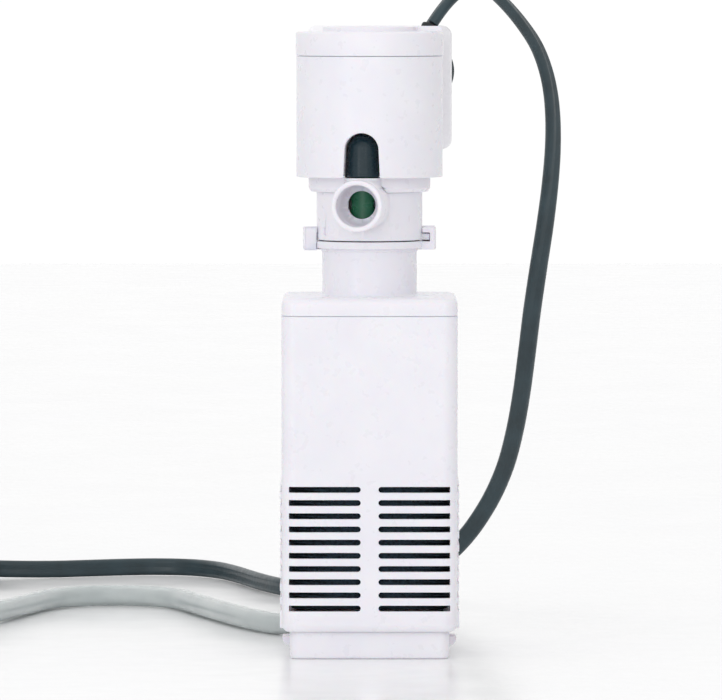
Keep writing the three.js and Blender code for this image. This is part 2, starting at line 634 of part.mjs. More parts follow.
filter.add(
  piece('cord_gland', cordGland(), FINISH.rubber),
  piece('air_nipple', airNipple(), FINISH.whiteAbs),
  piece('canister_lid', canisterLid(), FINISH.whiteAbs),
  piece('neck_seal', solid(ring(13.7, 14.6, NECK.top - 0.7, NECK.top)), FINISH.rubber),
  piece('canister_body', canisterBody(), FINISH.whiteAbs),
  piece('media_grid', mediaGrid(), FINISH.greyAbs),
  piece('filter_sponge', filterSponge(), FINISH.foam),
  piece('base_cap', baseCap(), FINISH.whiteAbs),
  piece('power_cord', solid(tube(LEAD_ROUTE, LEAD.radius, LEAD.sides, LEAD.steps)), FINISH.lead),
  piece('power_cord_coil', coilRing(LEAD_COIL), FINISH.lead),
  piece('power_cord_tail', leadTail(), FINISH.lead),
  piece('cord_tie', coilTie(LEAD_COIL), FINISH.tie),
  piece('plug_body', plugBody(), FINISH.lead),
  piece('plug_pin_left', plugPin(-1), FINISH.nickel),
  piece('plug_pin_right', plugPin(1), FINISH.nickel),
  piece('air_hose', solid(tube(HOSE_ROUTE, HOSE.radius, HOSE.sides, HOSE.steps)), FINISH.hose),
  piece('air_hose_coil', coilRing(HOSE_COIL), FINISH.hose),
  piece('hose_tie', coilTie(HOSE_COIL), FINISH.tie),
);

export default filter;
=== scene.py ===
# %% [markdown]
# # An internal power filter, piece by piece
# A small aquarium filter stands on a table: a round, potted pump head with a spout and a flow knob,
# twisted onto a square canister that holds a block of foam. A flat mains lead arches out of the cap,
# and an air hose leaves the back. This notebook dresses the engineering model with finished pieces.
# Every length below is written in millimetres, and one helper turns it into Blender's metres.

# %% Load the engineering model
import json
import math

import bmesh
import bpy
from mathutils import Matrix, Vector


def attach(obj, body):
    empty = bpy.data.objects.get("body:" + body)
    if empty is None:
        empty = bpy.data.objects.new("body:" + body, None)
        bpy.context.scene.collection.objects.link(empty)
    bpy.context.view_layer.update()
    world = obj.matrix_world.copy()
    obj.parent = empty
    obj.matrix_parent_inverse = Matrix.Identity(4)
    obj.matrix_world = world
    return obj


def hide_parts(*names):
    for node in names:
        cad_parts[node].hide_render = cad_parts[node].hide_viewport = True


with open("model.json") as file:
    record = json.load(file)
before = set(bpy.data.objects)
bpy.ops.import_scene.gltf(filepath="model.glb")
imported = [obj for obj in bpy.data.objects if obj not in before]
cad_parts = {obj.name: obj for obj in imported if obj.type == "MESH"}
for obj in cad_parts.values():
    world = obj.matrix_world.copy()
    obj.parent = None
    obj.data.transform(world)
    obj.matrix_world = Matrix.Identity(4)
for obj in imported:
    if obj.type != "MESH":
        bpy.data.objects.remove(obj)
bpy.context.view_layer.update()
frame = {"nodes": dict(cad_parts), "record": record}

MM = 0.001
HEAD_TURN = Matrix.Rotation(math.radians(-6.5), 4, "Z")

# %% [markdown]
# ## The camera
# The filter is seen from far away through a long lens, so its upright edges stay parallel. A long
# lens is the simplest way to get that flat, catalogue look while it keeps a little perspective.

# %% Place the camera
camera_data = bpy.data.cameras.new("catalogue_camera")
camera_data.lens = 369
camera_data.sensor_width = 36
camera_data.clip_start = 0.05
camera_data.clip_end = 50
camera = bpy.data.objects.new("catalogue_camera", camera_data)
camera.location = (-0.0025, -2.1765, 0.198)
camera.rotation_euler = (math.radians(87.14), 0, 0)
bpy.context.scene.collection.objects.link(camera)
bpy.context.scene.camera = camera

# %% [markdown]
# ## Colours
# Paint is quoted as a screen colour, such as #F0ECF5. Blender's shaders want linear light, so one
# function does the change, and every colour goes through it.


# %% Turn a screen colour into linear light
def paint(code):
    values = [int(code[i:i + 2], 16) / 255 for i in (1, 3, 5)]
    linear = [v / 12.92 if v <= 0.04045 else ((v + 0.055) / 1.055) ** 2.4 for v in values]
    return (*linear, 1.0)


# %% [markdown]
# ## Finishes
# A moulded plastic is never one flat number. Its colour drifts a little, its gloss is broken up by
# handling, and its skin carries the fine texture of the steel it was pressed against. Each finish
# here starts from one shader and adds those three things with noise that is fixed to the piece.


# %% A base shader with even settings on its own sockets
def finish(name, code, roughness, **settings):
    material = bpy.data.materials.new(name)
    material.use_nodes = True
    material.diffuse_color = paint(code)
    shader = material.node_tree.nodes["Principled BSDF"]
    shader.inputs["Base Color"].default_value = paint(code)
    shader.inputs["Roughness"].default_value = roughness
    for socket, value in settings.items():
        shader.inputs[socket.replace("_", " ")].default_value = value
    return material


# %% Noise fixed to the piece, with grains of a size in millimetres
def noise(material, size, detail=2.0, stretch=(1, 1, 1)):
    nodes, links = material.node_tree.nodes, material.node_tree.links
    place = nodes.new("ShaderNodeTexCoord")
    scaled = nodes.new("ShaderNodeMapping")
    scaled.inputs["Scale"].default_value = stretch
    grain = nodes.new("ShaderNodeTexNoise")
    grain.inputs["Scale"].default_value = 1 / (size * MM)
    grain.inputs["Detail"].default_value = detail
    links.new(place.outputs["Object"], scaled.inputs["Vector"])
    links.new(scaled.outputs["Vector"], grain.inputs["Vector"])
    return grain.outputs["Fac"]


# %% Colour drift between two shades
def mottle(material, code_a, code_b, size, detail=3.0, source=None, low=0.3, high=0.7):
    nodes, links = material.node_tree.nodes, material.node_tree.links
    ramp = nodes.new("ShaderNodeValToRGB")
    ramp.color_ramp.elements[0].position = low
    ramp.color_ramp.elements[0].color = paint(code_a)
    ramp.color_ramp.elements[1].position = high
    ramp.color_ramp.elements[1].color = paint(code_b)
    links.new(source or noise(material, size, detail), ramp.inputs["Fac"])
    links.new(ramp.outputs["Color"], nodes["Principled BSDF"].inputs["Base Color"])


# %% Gloss that varies over the skin
def uneven_gloss(material, size, low, high, detail=4.0, stretch=(1, 1, 1)):
    nodes, links = material.node_tree.nodes, material.node_tree.links
    spread = nodes.new("ShaderNodeMapRange")
    spread.inputs["From Min"].default_value = 0.3
    spread.inputs["From Max"].default_value = 0.7
    spread.inputs["To Min"].default_value = low
    spread.inputs["To Max"].default_value = high
    links.new(noise(material, size, detail, stretch), spread.inputs["Value"])
    links.new(spread.outputs["Result"], nodes["Principled BSDF"].inputs["Roughness"])


# %% Relief: each call adds one more layer of bump, a height in millimetres
def relief(material, height, source, strength=1.0):
    nodes, links = material.node_tree.nodes, material.node_tree.links
    shader = nodes["Principled BSDF"]
    bump = nodes.new("ShaderNodeBump")
    bump.inputs["Distance"].default_value = height * MM
    bump.inputs["Strength"].default_value = strength
    if shader.inputs["Normal"].links:
        links.new(shader.inputs["Normal"].links[0].from_socket, bump.inputs["Normal"])
    links.new(source, bump.inputs["Height"])
    links.new(bump.outputs["Normal"], shader.inputs["Normal"])


# %% Cells, for foam and cast grain
def cells(material, size, feature="F1"):
    nodes, links = material.node_tree.nodes, material.node_tree.links
    place = nodes.new("ShaderNodeTexCoord")
    cell = nodes.new("ShaderNodeTexVoronoi")
    cell.feature = feature
    cell.inputs["Scale"].default_value = 1 / (size * MM)
    links.new(place.outputs["Object"], cell.inputs["Vector"])
    return cell.outputs["Distance"]


# %% Stripes across one direction, for stacked plates and wound wire
def stripes(material, size, direction="Z", wobble=0.0):
    nodes, links = material.node_tree.nodes, material.node_tree.links
    place = nodes.new("ShaderNodeTexCoord")
    wave = nodes.new("ShaderNodeTexWave")
    wave.bands_direction = direction
    wave.inputs["Scale"].default_value = 1 / (size * MM) / 3.3
    wave.inputs["Distortion"].default_value = wobble
    links.new(place.outputs["Object"], wave.inputs["Vector"])
    return wave.outputs["Fac"]


# %% [markdown]
# The housing is ABS, the hard glossy plastic of most small appliances, tinted a cold white. Light
# soaks a little way into it, so a touch of subsurface scattering keeps its shadows soft. The valve
# and knob are the same plastic in other colours, so they share the recipe.


# %% Moulded ABS in the filter's colours
def moulded_abs(name, code, shade, roughness, **settings):
    material = finish(name, code, roughness, **settings)
    mottle(material, code, shade, 14)
    uneven_gloss(material, 3, roughness - 0.05, roughness + 0.08)
    relief(material, 0.006, noise(material, 9, 1), 0.5)
    relief(material, 0.0005, noise(material, 0.6, 1), 0.3)
    return material


WHITE_ABS = moulded_abs("cold_white_moulded_abs", "#EEECF4", "#F2F0F6", 0.3,
                        Subsurface_Weight=0.15, Subsurface_Scale=0.002)
GREY_ABS = moulded_abs("pale_grey_moulded_abs", "#CFD0D6", "#D6D7DC", 0.42)
# The bracket is the same cold white ABS as the housing, painted whiter: painted light that lifts it out of the dim
# side of the surround.
BRACKET_PAINTED_LIGHT_ABS = moulded_abs("bright_white_moulded_abs", "#F8F7FA", "#FBFAFC", 0.3)
KNOB_ABS = moulded_abs("slate_moulded_abs", "#12252C", "#182E37", 0.27, Specular_IOR_Level=0.35)
VALVE_ABS = moulded_abs("bottle_green_moulded_abs", "#12573A", "#1B6B49", 0.27)

# %% [markdown]
# Filter foam is open-cell polyurethane, so a cell texture pushes pores into it, and the same cells paint the
# pores darker and the walls between them paler, as painted shade and painted light. Rubber seals and the
# cups are soft: the first is matt and dusty, the second is a smoky, half-clear PVC.

# %% Foam and rubber
FOAM = finish("open_cell_filter_foam", "#13212C", 0.95)
# Painted shade in the pores and paler walls between them, following the same cells as the relief.
mottle(FOAM, "#0A131B", "#22333F", 1, source=cells(FOAM, 1.1), low=0.1, high=0.6)
relief(FOAM, 0.5, cells(FOAM, 1.1), 0.9)
relief(FOAM, 0.2, noise(FOAM, 0.5, 4), 0.7)

SEAL_RUBBER = finish("black_nitrile_rubber", "#1A1F22", 0.62)
mottle(SEAL_RUBBER, "#15191C", "#23292C", 5)
relief(SEAL_RUBBER, 0.01, noise(SEAL_RUBBER, 0.4, 3), 0.6)

CUP_PVC = finish("smoky_soft_pvc", "#24343C", 0.22, Transmission_Weight=0.35, IOR=1.53)
mottle(CUP_PVC, "#1E2C33", "#2C3F48", 8)
uneven_gloss(CUP_PVC, 2, 0.16, 0.32)
relief(CUP_PVC, 0.01, noise(CUP_PVC, 1.2, 3), 0.5)

# %% [markdown]
# The lead is sleeved in soft PVC that is drawn through a die, so its marks run along it. The hose
# is clear PVC, which goes milky with age. The plug's pins are nickel on brass, brushed by use.

# %% Lead, hose and metal
LEAD_PVC = finish("slate_drawn_pvc", "#24363C", 0.36)
mottle(LEAD_PVC, "#203137", "#2A3E45", 9)
uneven_gloss(LEAD_PVC, 1.5, 0.3, 0.44)
relief(LEAD_PVC, 0.008, noise(LEAD_PVC, 0.5, 3), 0.5)

HOSE_PVC = finish("milky_clear_pvc", "#E4EAEA", 0.16, Transmission_Weight=0.55, IOR=1.45)
mottle(HOSE_PVC, "#DDE4E4", "#EBF0F0", 12)
uneven_gloss(HOSE_PVC, 4, 0.12, 0.24)
relief(HOSE_PVC, 0.01, noise(HOSE_PVC, 2.5, 2), 0.5)

NICKEL = finish("brushed_nickel_plate", "#C9CBCC", 0.25, Metallic=1.0)
mottle(NICKEL, "#BEC1C3", "#D3D4D4", 3)
uneven_gloss(NICKEL, 0.5, 0.16, 0.36, stretch=(1, 0.08, 1))
relief(NICKEL, 0.003, noise(NICKEL, 0.2, 2, (1, 0.05, 1)), 0.6)

TIE_PLASTIC = finish("black_nylon_strap", "#14181A", 0.5)
mottle(TIE_PLASTIC, "#111416", "#1D2225", 4)
relief(TIE_PLASTIC, 0.02, noise(TIE_PLASTIC, 0.6, 2), 0.6)

# %% [markdown]
# Inside the head are a laminated core, copper windings, epoxy, a ferrite magnet and a ceramic
# shaft. They hide behind the covers, but the head comes apart, so they are finished too.

# %% Finishes of the inner pieces
CORE_STEEL = finish("stacked_lamination_steel", "#8D9094", 0.42, Metallic=0.9)
mottle(CORE_STEEL, "#6E7175", "#A3A6A9", 1, source=stripes(CORE_STEEL, 0.5, "Y"))
relief(CORE_STEEL, 0.08, stripes(CORE_STEEL, 0.5, "Y"), 0.8)

WINDING = finish("enamelled_copper_wire", "#A8562C", 0.32, Metallic=0.8)
mottle(WINDING, "#7E3A1A", "#C06A38", 1, source=stripes(WINDING, 0.35, "Z", 0.6))
relief(WINDING, 0.15, stripes(WINDING, 0.35, "Z", 0.6), 0.9)

POTTING = finish("poured_black_epoxy", "#22242A", 0.24)
mottle(POTTING, "#1B1D22", "#2A2D33", 6)
relief(POTTING, 0.05, noise(POTTING, 4, 2), 0.5)

FERRITE = finish("sintered_ferrite", "#303236", 0.55)
mottle(FERRITE, "#26282B", "#3B3D41", 1.5)
relief(FERRITE, 0.02, cells(FERRITE, 0.5), 0.6)

CERAMIC = finish("ground_ceramic", "#F2F0EA", 0.18)
mottle(CERAMIC, "#ECE9E1", "#F7F5F1", 3)
relief(CERAMIC, 0.002, noise(CERAMIC, 0.3, 2), 0.5)

SLOT_FINISH = {
    "white_abs": WHITE_ABS, "grey_abs": GREY_ABS, "knob_abs": KNOB_ABS, "valve_abs": VALVE_ABS,
    "foam": FOAM, "black_rubber": SEAL_RUBBER, "cup_rubber": CUP_PVC, "core_steel": CORE_STEEL,
    "copper_winding": WINDING, "potting": POTTING, "ferrite": FERRITE, "shaft_ceramic": CERAMIC,
    "lead_pvc": LEAD_PVC, "tie_plastic": TIE_PLASTIC, "plug_nickel": NICKEL, "hose_pvc": HOSE_PVC,
}
NODE_SLOT = {row["node"]: row["material_slot"] for row in frame["record"]["subparts"]}
for node, obj in frame["nodes"].items():
    obj.data.materials.clear()
    obj.data.materials.append(SLOT_FINISH[NODE_SLOT[node]])
print(len(SLOT_FINISH), "finishes on", len(frame["nodes"]), "engineering solids")

# %% [markdown]
# ## Smooth routes
# A lead is a fixed length of something springy, so it follows one smooth line. A centripetal
# Catmull-Rom curve passes through every point it is given and never loops back on itself, which
# makes it the safest curve for a route written as a list of places.


# %% A smooth line through given places
def smooth_line(places, per_span=8):
    p = [Vector(q) for q in places]
    line = []
    for i in range(len(p) - 1):
        p1, p2 = p[i], p[i + 1]
        p0 = p[i - 1] if i else 2 * p1 - p2
        p3 = p[i + 2] if i + 2 < len(p) else 2 * p2 - p1
        d0, d1, d2 = ((b - a).length ** 0.5 for a, b in ((p0, p1), (p1, p2), (p2, p3)))
        t1 = ((p1 - p0) / d0 - (p2 - p0) / (d0 + d1) + (p2 - p1) / d1) * d1
        t2 = ((p2 - p1) / d1 - (p3 - p1) / (d1 + d2) + (p3 - p2) / d2) * d1
        c2, c3 = 3 * (p2 - p1) - 2 * t1 - t2, 2 * (p1 - p2) + t1 + t2
        line += [p1 + t1 * u + c2 * u * u + c3 * u ** 3 for u in (k / per_span for k in range(per_span))]
    return line + [p[-1]]


def even_line(line, step):
    total = sum((b - a).length for a, b in zip(line, line[1:]))
    count = max(2, round(total / step))
    marks, out, walked, i = [total * k / count for k in range(count + 1)], [], 0.0, 0
    for mark in marks:
        while i < len(line) - 2 and walked + (line[i + 1] - line[i]).length < mark:
            walked += (line[i + 1] - line[i]).length
            i += 1
        span = (line[i + 1] - line[i]).length
        out.append(line[i].lerp(line[i + 1], min(1.0, (mark - walked) / span)))
    return out, total


# %% A soft step from 0 to 1
def eased(value, start, end):
    t = min(1.0, max(0.0, (value - start) / (end - start)))
    return t * t * (3 - 2 * t)


# %% [markdown]
# ## From points to pieces
# Most pieces are built the way a pattern maker would draw them: a section is carried from ring to
# ring, and the rings are skinned. `skin` does that for any list of rings. It gives clean quads that
# take smooth shading well, and edges sharper than 38 degrees stay crisp.


# %% One object from points in millimetres
def piece(name, points, faces, material, matrix=None):
    mesh = bpy.data.meshes.new(name)
    mesh.from_pydata([Vector(p) * MM for p in points], [], faces)
    if matrix is not None:
        mesh.transform(matrix)
    tidy = bmesh.new()
    tidy.from_mesh(mesh)
    bmesh.ops.remove_doubles(tidy, verts=tidy.verts, dist=1e-7)
    bmesh.ops.recalc_face_normals(tidy, faces=tidy.faces)
    tidy.to_mesh(mesh)
    tidy.free()
    mesh.materials.append(material)
    obj = bpy.data.objects.new(name, mesh)
    bpy.context.scene.collection.objects.link(obj)
    shade(obj)
    return obj


def shade(obj, angle=38):
    mesh = obj.data
    mesh.polygons.foreach_set("use_smooth", [True] * len(mesh.polygons))
    mesh.set_sharp_from_angle(angle=math.radians(angle))
    mesh.update()


# %% Skin a stack of rings
def skin(rings, closed=False, caps=True):
    points, faces, count = [p for ring in rings for p in ring], [], len(rings[0])
    pairs = list(zip(range(len(rings) - 1), range(1, len(rings))))
    for a, b in pairs + ([(len(rings) - 1, 0)] if closed else []):
        for i in range(count):
            j = (i + 1) % count
            faces.append((a * count + i, a * count + j, b * count + j, b * count + i))
    if caps and not closed:
        faces.append(tuple(range(count)))
        faces.append(tuple(range(len(points) - count, len(points))))
    return points, faces


# %% Apply what is on an object's modifier stack
def settle(obj, angle=38):
    depsgraph = bpy.context.evaluated_depsgraph_get()
    made = bpy.data.meshes.new_from_object(obj.evaluated_get(depsgraph))
    obj.modifiers.clear()
    obj.data = made
    shade(obj, angle)
    return obj


# %% Join to, or cut from, a body with solid tools
def combine(obj, tools, operation="DIFFERENCE"):
    for tool in tools:
        step = obj.modifiers.new(tool.name, "BOOLEAN")
        step.operation, step.solver, step.object = operation, "EXACT", tool
    settle(obj)
    for tool in tools:
        bpy.data.objects.remove(tool)
    return obj


# %% Round the corners of a moulding
def round_edges(obj, radius, steps=3, angle=40):
    bevel = obj.modifiers.new("rounded edges", "BEVEL")
    bevel.width, bevel.segments = radius * MM, steps
    bevel.limit_method, bevel.angle_limit = "ANGLE", math.radians(angle)
    bevel.use_clamp_overlap = False
    settle(obj)
    even = obj.modifiers.new("even shading", "WEIGHTED_NORMAL")
    even.mode, even.weight, even.keep_sharp = "FACE_AREA", 60, True
    made = bpy.data.meshes.new_from_object(obj.evaluated_get(bpy.context.evaluated_depsgraph_get()))
    obj.modifiers.clear()
    obj.data = made
    return obj


# %% [markdown]
# Half of this filter is round, so the next helper turns a drawn profile about the upright axis.
# Each corner of the profile may carry a radius, because no moulded corner is truly sharp, and the
# thin line of light on that small radius is what tells the eye that two pieces meet.


# %% Profiles with rounded corners
def rounded_profile(corners, closed, steps=4):
    flat = [Vector((c[0], c[1])) for c in corners]
    radii = [c[2] if len(c) > 2 else 0 for c in corners]
    out, n = [], len(flat)
    for i, here in enumerate(flat):
        if radii[i] == 0 or (not closed and i in (0, n - 1)):
            out.append((here.x, here.y))
            continue
        before, after = flat[i - 1] - here, flat[(i + 1) % n] - here
        half = before.angle(after) / 2
        reach = min(radii[i] / math.tan(half), before.length * 0.49, after.length * 0.49)
        radius = reach * math.tan(half)
        centre = here + (before.normalized() + after.normalized()).normalized() * (radius / math.sin(half))
        first = here + before.normalized() * reach - centre
        turn = first.angle_signed(here + after.normalized() * reach - centre)
        for k in range(steps + 1):
            angle = -turn * k / steps
            out.append((centre.x + first.x * math.cos(angle) - first.y * math.sin(angle),
                        centre.y + first.x * math.sin(angle) + first.y * math.cos(angle)))
    return out


# %% Turn a profile about the upright axis
def turned(name, corners, material, closed=True, segments=96, matrix=None):
    points, rings = [], []
    for r, z in rounded_profile(corners, closed):
        if r < 1e-4:
            rings.append([len(points)])
            points.append((0, 0, z))
        else:
            rings.append(list(range(len(points), len(points) + segments)))
            points += [(r * math.cos(2 * math.pi * k / segments), r * math.sin(2 * math.pi * k / segments), z)
                       for k in range(segments)]
    faces = []
    for a, b in list(zip(rings, rings[1:])) + ([(rings[-1], rings[0])] if closed else []):
        for i in range(segments):
            j = (i + 1) % segments
            corner = [a[i % len(a)], a[j % len(a)], b[j % len(b)], b[i % len(b)]]
            corner = list(dict.fromkeys(corner))
            if len(corner) > 2:
                faces.append(corner)
    return piece(name, points, faces, material, matrix)


# %% A rounded rectangle, counted from its first corner
def rounded_box_outline(half_x, half_y, corner, per_corner=8):
    corner = max(corner, 0.05)
    out = []
    for quarter, (sx, sy) in enumerate(((1, 1), (-1, 1), (-1, -1), (1, -1))):
        for k in range(per_corner + 1):
            angle = math.pi / 2 * (quarter + k / per_corner)
            out.append((sx * (half_x - corner) + corner * math.cos(angle),
                        sy * (half_y - corner) + corner * math.sin(angle)))
    return out


# %% A plain block, as a tool or a rib
def block(name, x, y, z, material=None, matrix=None):
    points = [(a, b, c) for a in x for b in y for c in z]
    faces = [(0, 1, 3, 2), (4, 5, 7, 6), (0, 1, 5, 4), (2, 3, 7, 6), (0, 2, 6, 4), (1, 3, 7, 5)]
    return piece(name, points, faces, material or WHITE_ABS, matrix)


# %% A round bar along the Y axis
def bar(name, radius, y0, y1, x, z, material=None, matrix=None, segments=64):
    rings = [[(x + radius * math.cos(2 * math.pi * k / segments), y,
               z + radius * math.sin(2 * math.pi * k / segments)) for k in range(segments)] for y in (y0, y1)]
    return piece(name, *skin(rings), material or WHITE_ABS, matrix)


# %% Hand a finished piece over to the frame
def hand_over(obj, body, slot, *nodes):
    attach(obj, body)
    if nodes:
        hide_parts(*nodes)
    return obj


# %% [markdown]
# ## The mains lead
# The lead is a flat twin: two insulated wires side by side, 5.6 mm wide and 3.2 mm thick, with a
# shallow groove between them. It comes out of the cap edge-on, twists as it falls behind the
# canister, and stands on its narrow edge along the table. Its spare length is wound into a coil of
# four and a quarter turns, out of the way. A mesh tube is used here and not a bevelled curve,
# because only a mesh lets the flat section twist exactly as wanted.

# %% Where the lead runs
LEAD_WIDTH, LEAD_THICK, LEAD_LENGTH = 5.6, 3.2, 1.5
LEAD_ROUTE = [
    (18.4, 6.5, 185.1), (20.4, 7.6, 188), (23.3, 10.6, 191.6), (26.9, 15, 194.8), (30.9, 20.5, 196.6),
    (35.2, 26.8, 195.4), (40.5, 33.6, 190.9), (46.1, 41, 184.4), (50.2, 47.2, 178.2), (52.9, 52.4, 171.6),
    (54.6, 57.3, 164.6), (55.5, 62.7, 156.8), (55.7, 69, 147.4), (55.1, 76.5, 136.2), (53.8, 85, 123.6),
    (52, 94.5, 110), (50.3, 104, 96.4), (48.9, 113.5, 82.8), (47.5, 123, 70), (45.5, 133, 57),
    (42.4, 143, 44.4), (37, 152.5, 32), (29, 161.5, 20.2), (18.5, 169, 10.8), (6, 175, 4.9),
    (-7, 179.5, 3), (-18.5, 186.5, 3), (-27.5, 198.5, 3), (-33.8, 215, 3), (-39.2, 234, 3),
    (-44.5, 253, 3), (-50.3, 267.8, 3), (-58.6, 277.6, 3), (-69.5, 281.2, 3), (-81, 279.4, 3),
    (-92, 275.2, 3), (-105, 270.8, 3), (-121, 268.3, 3.3), (-139, 269, 3.9),
]
LEAD_COIL_CENTRE = (-160, 234.5)


# %% The lead's coil, turn by turn
def lead_coil(turns=4.25, per_turn=40):
    places = []
    for k in range(round(turns * per_turn) + 1):
        u = k / per_turn
        radius = 35.3 - 3.6 * eased(u, 0.68, 0.92) + 3.6 * eased(u, 2.68, 2.95) + 3.6 * eased(u, 3.68, 3.94)
        height = 4.4 + 5.8 * eased(u, 1.68, 1.95) - 5.4 * eased(u, 4.04, 4.25)
        angle = math.pi / 2 + 2 * math.pi * u
        places.append((LEAD_COIL_CENTRE[0] + radius * math.cos(angle),
                       LEAD_COIL_CENTRE[1] + radius * math.sin(angle), height))
    return places


LEAD_TAIL = [
    (-198.7, 226, 4.9), (-197.4, 217.5, 5.4), (-195.2, 209, 6.3), (-193.9, 202, 6.9), (-193.5, 198, 7),
]
lead_line, lead_total = even_line(smooth_line(LEAD_ROUTE + lead_coil() + LEAD_TAIL, 6), 1.5)
print(f"lead: {lead_total:.0f} mm along its centreline")


# %% The flat twin section, and how it twists
def flat_twin_section(count=28):
    out, offset, radius = [], (LEAD_WIDTH - LEAD_THICK) / 2, LEAD_THICK / 2
    for k in range(count):
        angle = 2 * math.pi * (k + 0.5) / count
        across, through = math.cos(angle), math.sin(angle)
        if abs(across) > 0.28:
            side = math.copysign(1, across)
            lean = math.atan2(through, abs(across))
            out.append((side * (offset + radius * math.cos(lean * 1.22)), radius * math.sin(lean * 1.22)))
        else:
            out.append((across * 2.4, math.copysign(radius * (0.72 + abs(across) * 0.5), through)))
    return out


def lead_width_direction(index, tangent):
    walked = index * 1.5
    toward = Vector((0, 1, 0))
    toward = (toward - tangent * toward.dot(tangent)).normalized()
    broad = Vector((-tangent.z, 0, tangent.x))
    broad = Vector((0, 0, -1)) if walked > 300 else broad.normalized()
    if 240 < walked <= 300:
        broad = broad.lerp(Vector((0, 0, -1)), eased(walked, 240, 300))
    twist = math.radians(6 + 84 * eased(walked, 12, 190))
    return broad * math.sin(twist) + toward * math.cos(twist)


# %% Carry a section along a line
def carried(name, line, section, direction, material):
    rings = []
    for i, here in enumerate(line):
        ahead = line[min(i + 1, len(line) - 1)] - line[max(i - 1, 0)]
        tangent = ahead.normalized()
        wide = direction(i, tangent)
        wide = (wide - tangent * wide.dot(tangent)).normalized()
        thick = tangent.cross(wide)
        rings.append([here + wide * a + thick * b for a, b in section])
    return piece(name, *skin(rings), material)


lead = carried("mains_lead", lead_line, flat_twin_section(), lead_width_direction, LEAD_PVC)
hand_over(lead, "pump_head", "lead_pvc", "power_cord", "power_cord_coil", "power_cord_tail")

# %% [markdown]
# ## The air hose
# A clear hose draws air in for the pump. It hangs down behind the canister, runs along the table
# and ends in a loose coil, cut square, ready for an air regulator. The tube has a real wall, so
# light passes through it and shows the pale line of its bore.

# %% Where the hose runs
HOSE_OUTSIDE, HOSE_BORE, HOSE_LENGTH = 6.6, 4.4, 0.76
HOSE_ROUTE = [
    (0, 22.6, 125.8), (-0.2, 25.2, 123.2), (-0.5, 28.6, 119.6), (-1.2, 32.4, 114.4), (-2.7, 36.2, 107),
    (-4.6, 38.8, 98), (-6.3, 40, 86), (-7.4, 40.2, 72), (-7.9, 40.2, 56), (-7.9, 40.2, 41),
    (-8.1, 40.3, 27.5), (-10.6, 42.4, 15.3), (-17.2, 47.9, 6.9), (-26, 56, 3.6), (-33, 67.5, 3.4),
    (-38.8, 81.5, 3.4), (-44.4, 98, 3.4), (-50, 116, 3.4), (-54.6, 131, 3.4), (-58.6, 144.1, 3.4),
    (-64.4, 154.2, 3.4), (-74.5, 160, 3.4), (-86.1, 160, 3.4), (-96.2, 154.2, 3.4), (-102, 144.1, 3.4),
    (-106, 130, 3.4), (-110.5, 114, 3.5), (-115.5, 97, 3.7), (-123, 80.5, 4), (-133, 68.2, 4.4),
    (-146, 60.5, 4.7), (-157, 57.6, 4.7),
]
HOSE_COIL_CENTRE = (-168, 92)


# %% The hose's coil: a turn and a half, the second lying on the first
def hose_coil(turns=1.6, per_turn=40):
    places = []
    for k in range(round(turns * per_turn) + 1):
        u = k / per_turn
        angle = -math.pi / 2 - 2 * math.pi * u
        places.append((HOSE_COIL_CENTRE[0] + 35 * math.cos(angle), HOSE_COIL_CENTRE[1] + 35 * math.sin(angle),
                       4.7 + 6.7 * eased(u, 0.6, 0.86)))
    return places


hose_line, hose_total = even_line(smooth_line(HOSE_ROUTE + hose_coil(), 6), 2)
print(f"hose: {hose_total:.0f} mm along its centreline")


# %% A tube with a wall: out along the outside, back along the bore
def hose_mesh(name, line, outside, bore, material, sides=28):
    rings, inner, wide = [], [], Vector((1, 0, 0))
    for i, here in enumerate(line):
        tangent = (line[min(i + 1, len(line) - 1)] - line[max(i - 1, 0)]).normalized()
        wide = (wide - tangent * wide.dot(tangent)).normalized()
        thick = tangent.cross(wide)
        spokes = [wide * math.cos(2 * math.pi * k / sides) + thick * math.sin(2 * math.pi * k / sides)
                  for k in range(sides)]
        rings.append([here + s * outside / 2 for s in spokes])
        inner.append([here + s * bore / 2 for s in spokes])
    return piece(name, *skin(rings + inner[::-1], closed=True), material)


hose = hose_mesh("clear_air_hose", hose_line, HOSE_OUTSIDE, HOSE_BORE, HOSE_PVC)
hand_over(hose, "pump_head", "hose_pvc", "air_hose", "air_hose_coil")

# %% [markdown]
# ## The plug
# A flat two-pin plug is moulded straight onto the lead. Its grip is a loft of rounded boxes that
# swell and shrink along the lead, with shallow finger ribs, and its strain relief is a cone of
# separate rings, which lets the rubber bend without kinking the wires.

# %% The plug's grip
PLUG_X, PLUG_Z = -193.5, 7


def plug_ring(y, half_x, half_z, corner):
    return [(PLUG_X + a, y, PLUG_Z + b) for a, b in rounded_box_outline(half_x, half_z, corner, 6)]


def plug_grip():
    shape = [(180, 4.9, 4.6), (179.4, 5.8, 5.3), (178.2, 7, 5.8), (176.4, 8.9, 6.2), (174.4, 10.6, 6.6),
             (172.4, 11.7, 6.85), (170.4, 12.2, 6.95)]
    rings = [plug_ring(y, hx, hz, min(hz, 4.5) * 0.9) for y, hx, hz in shape]
    for k in range(41):
        y = 170 - k * 0.3
        groove = 0.42 * max(0.0, math.sin(2 * math.pi * k / 10)) ** 2
        rings.append(plug_ring(y, 12.35 - groove, 6.98 - groove * 0.6, 4.2))
    rings += [plug_ring(y, 12.4 - inset, 7 - inset, 4.2) for y, inset in
              ((157.6, 0), (154, 0), (153.4, 0.12), (153.1, 0.4), (153, 0.9))]
    return piece("plug_grip", *skin(rings), LEAD_PVC)


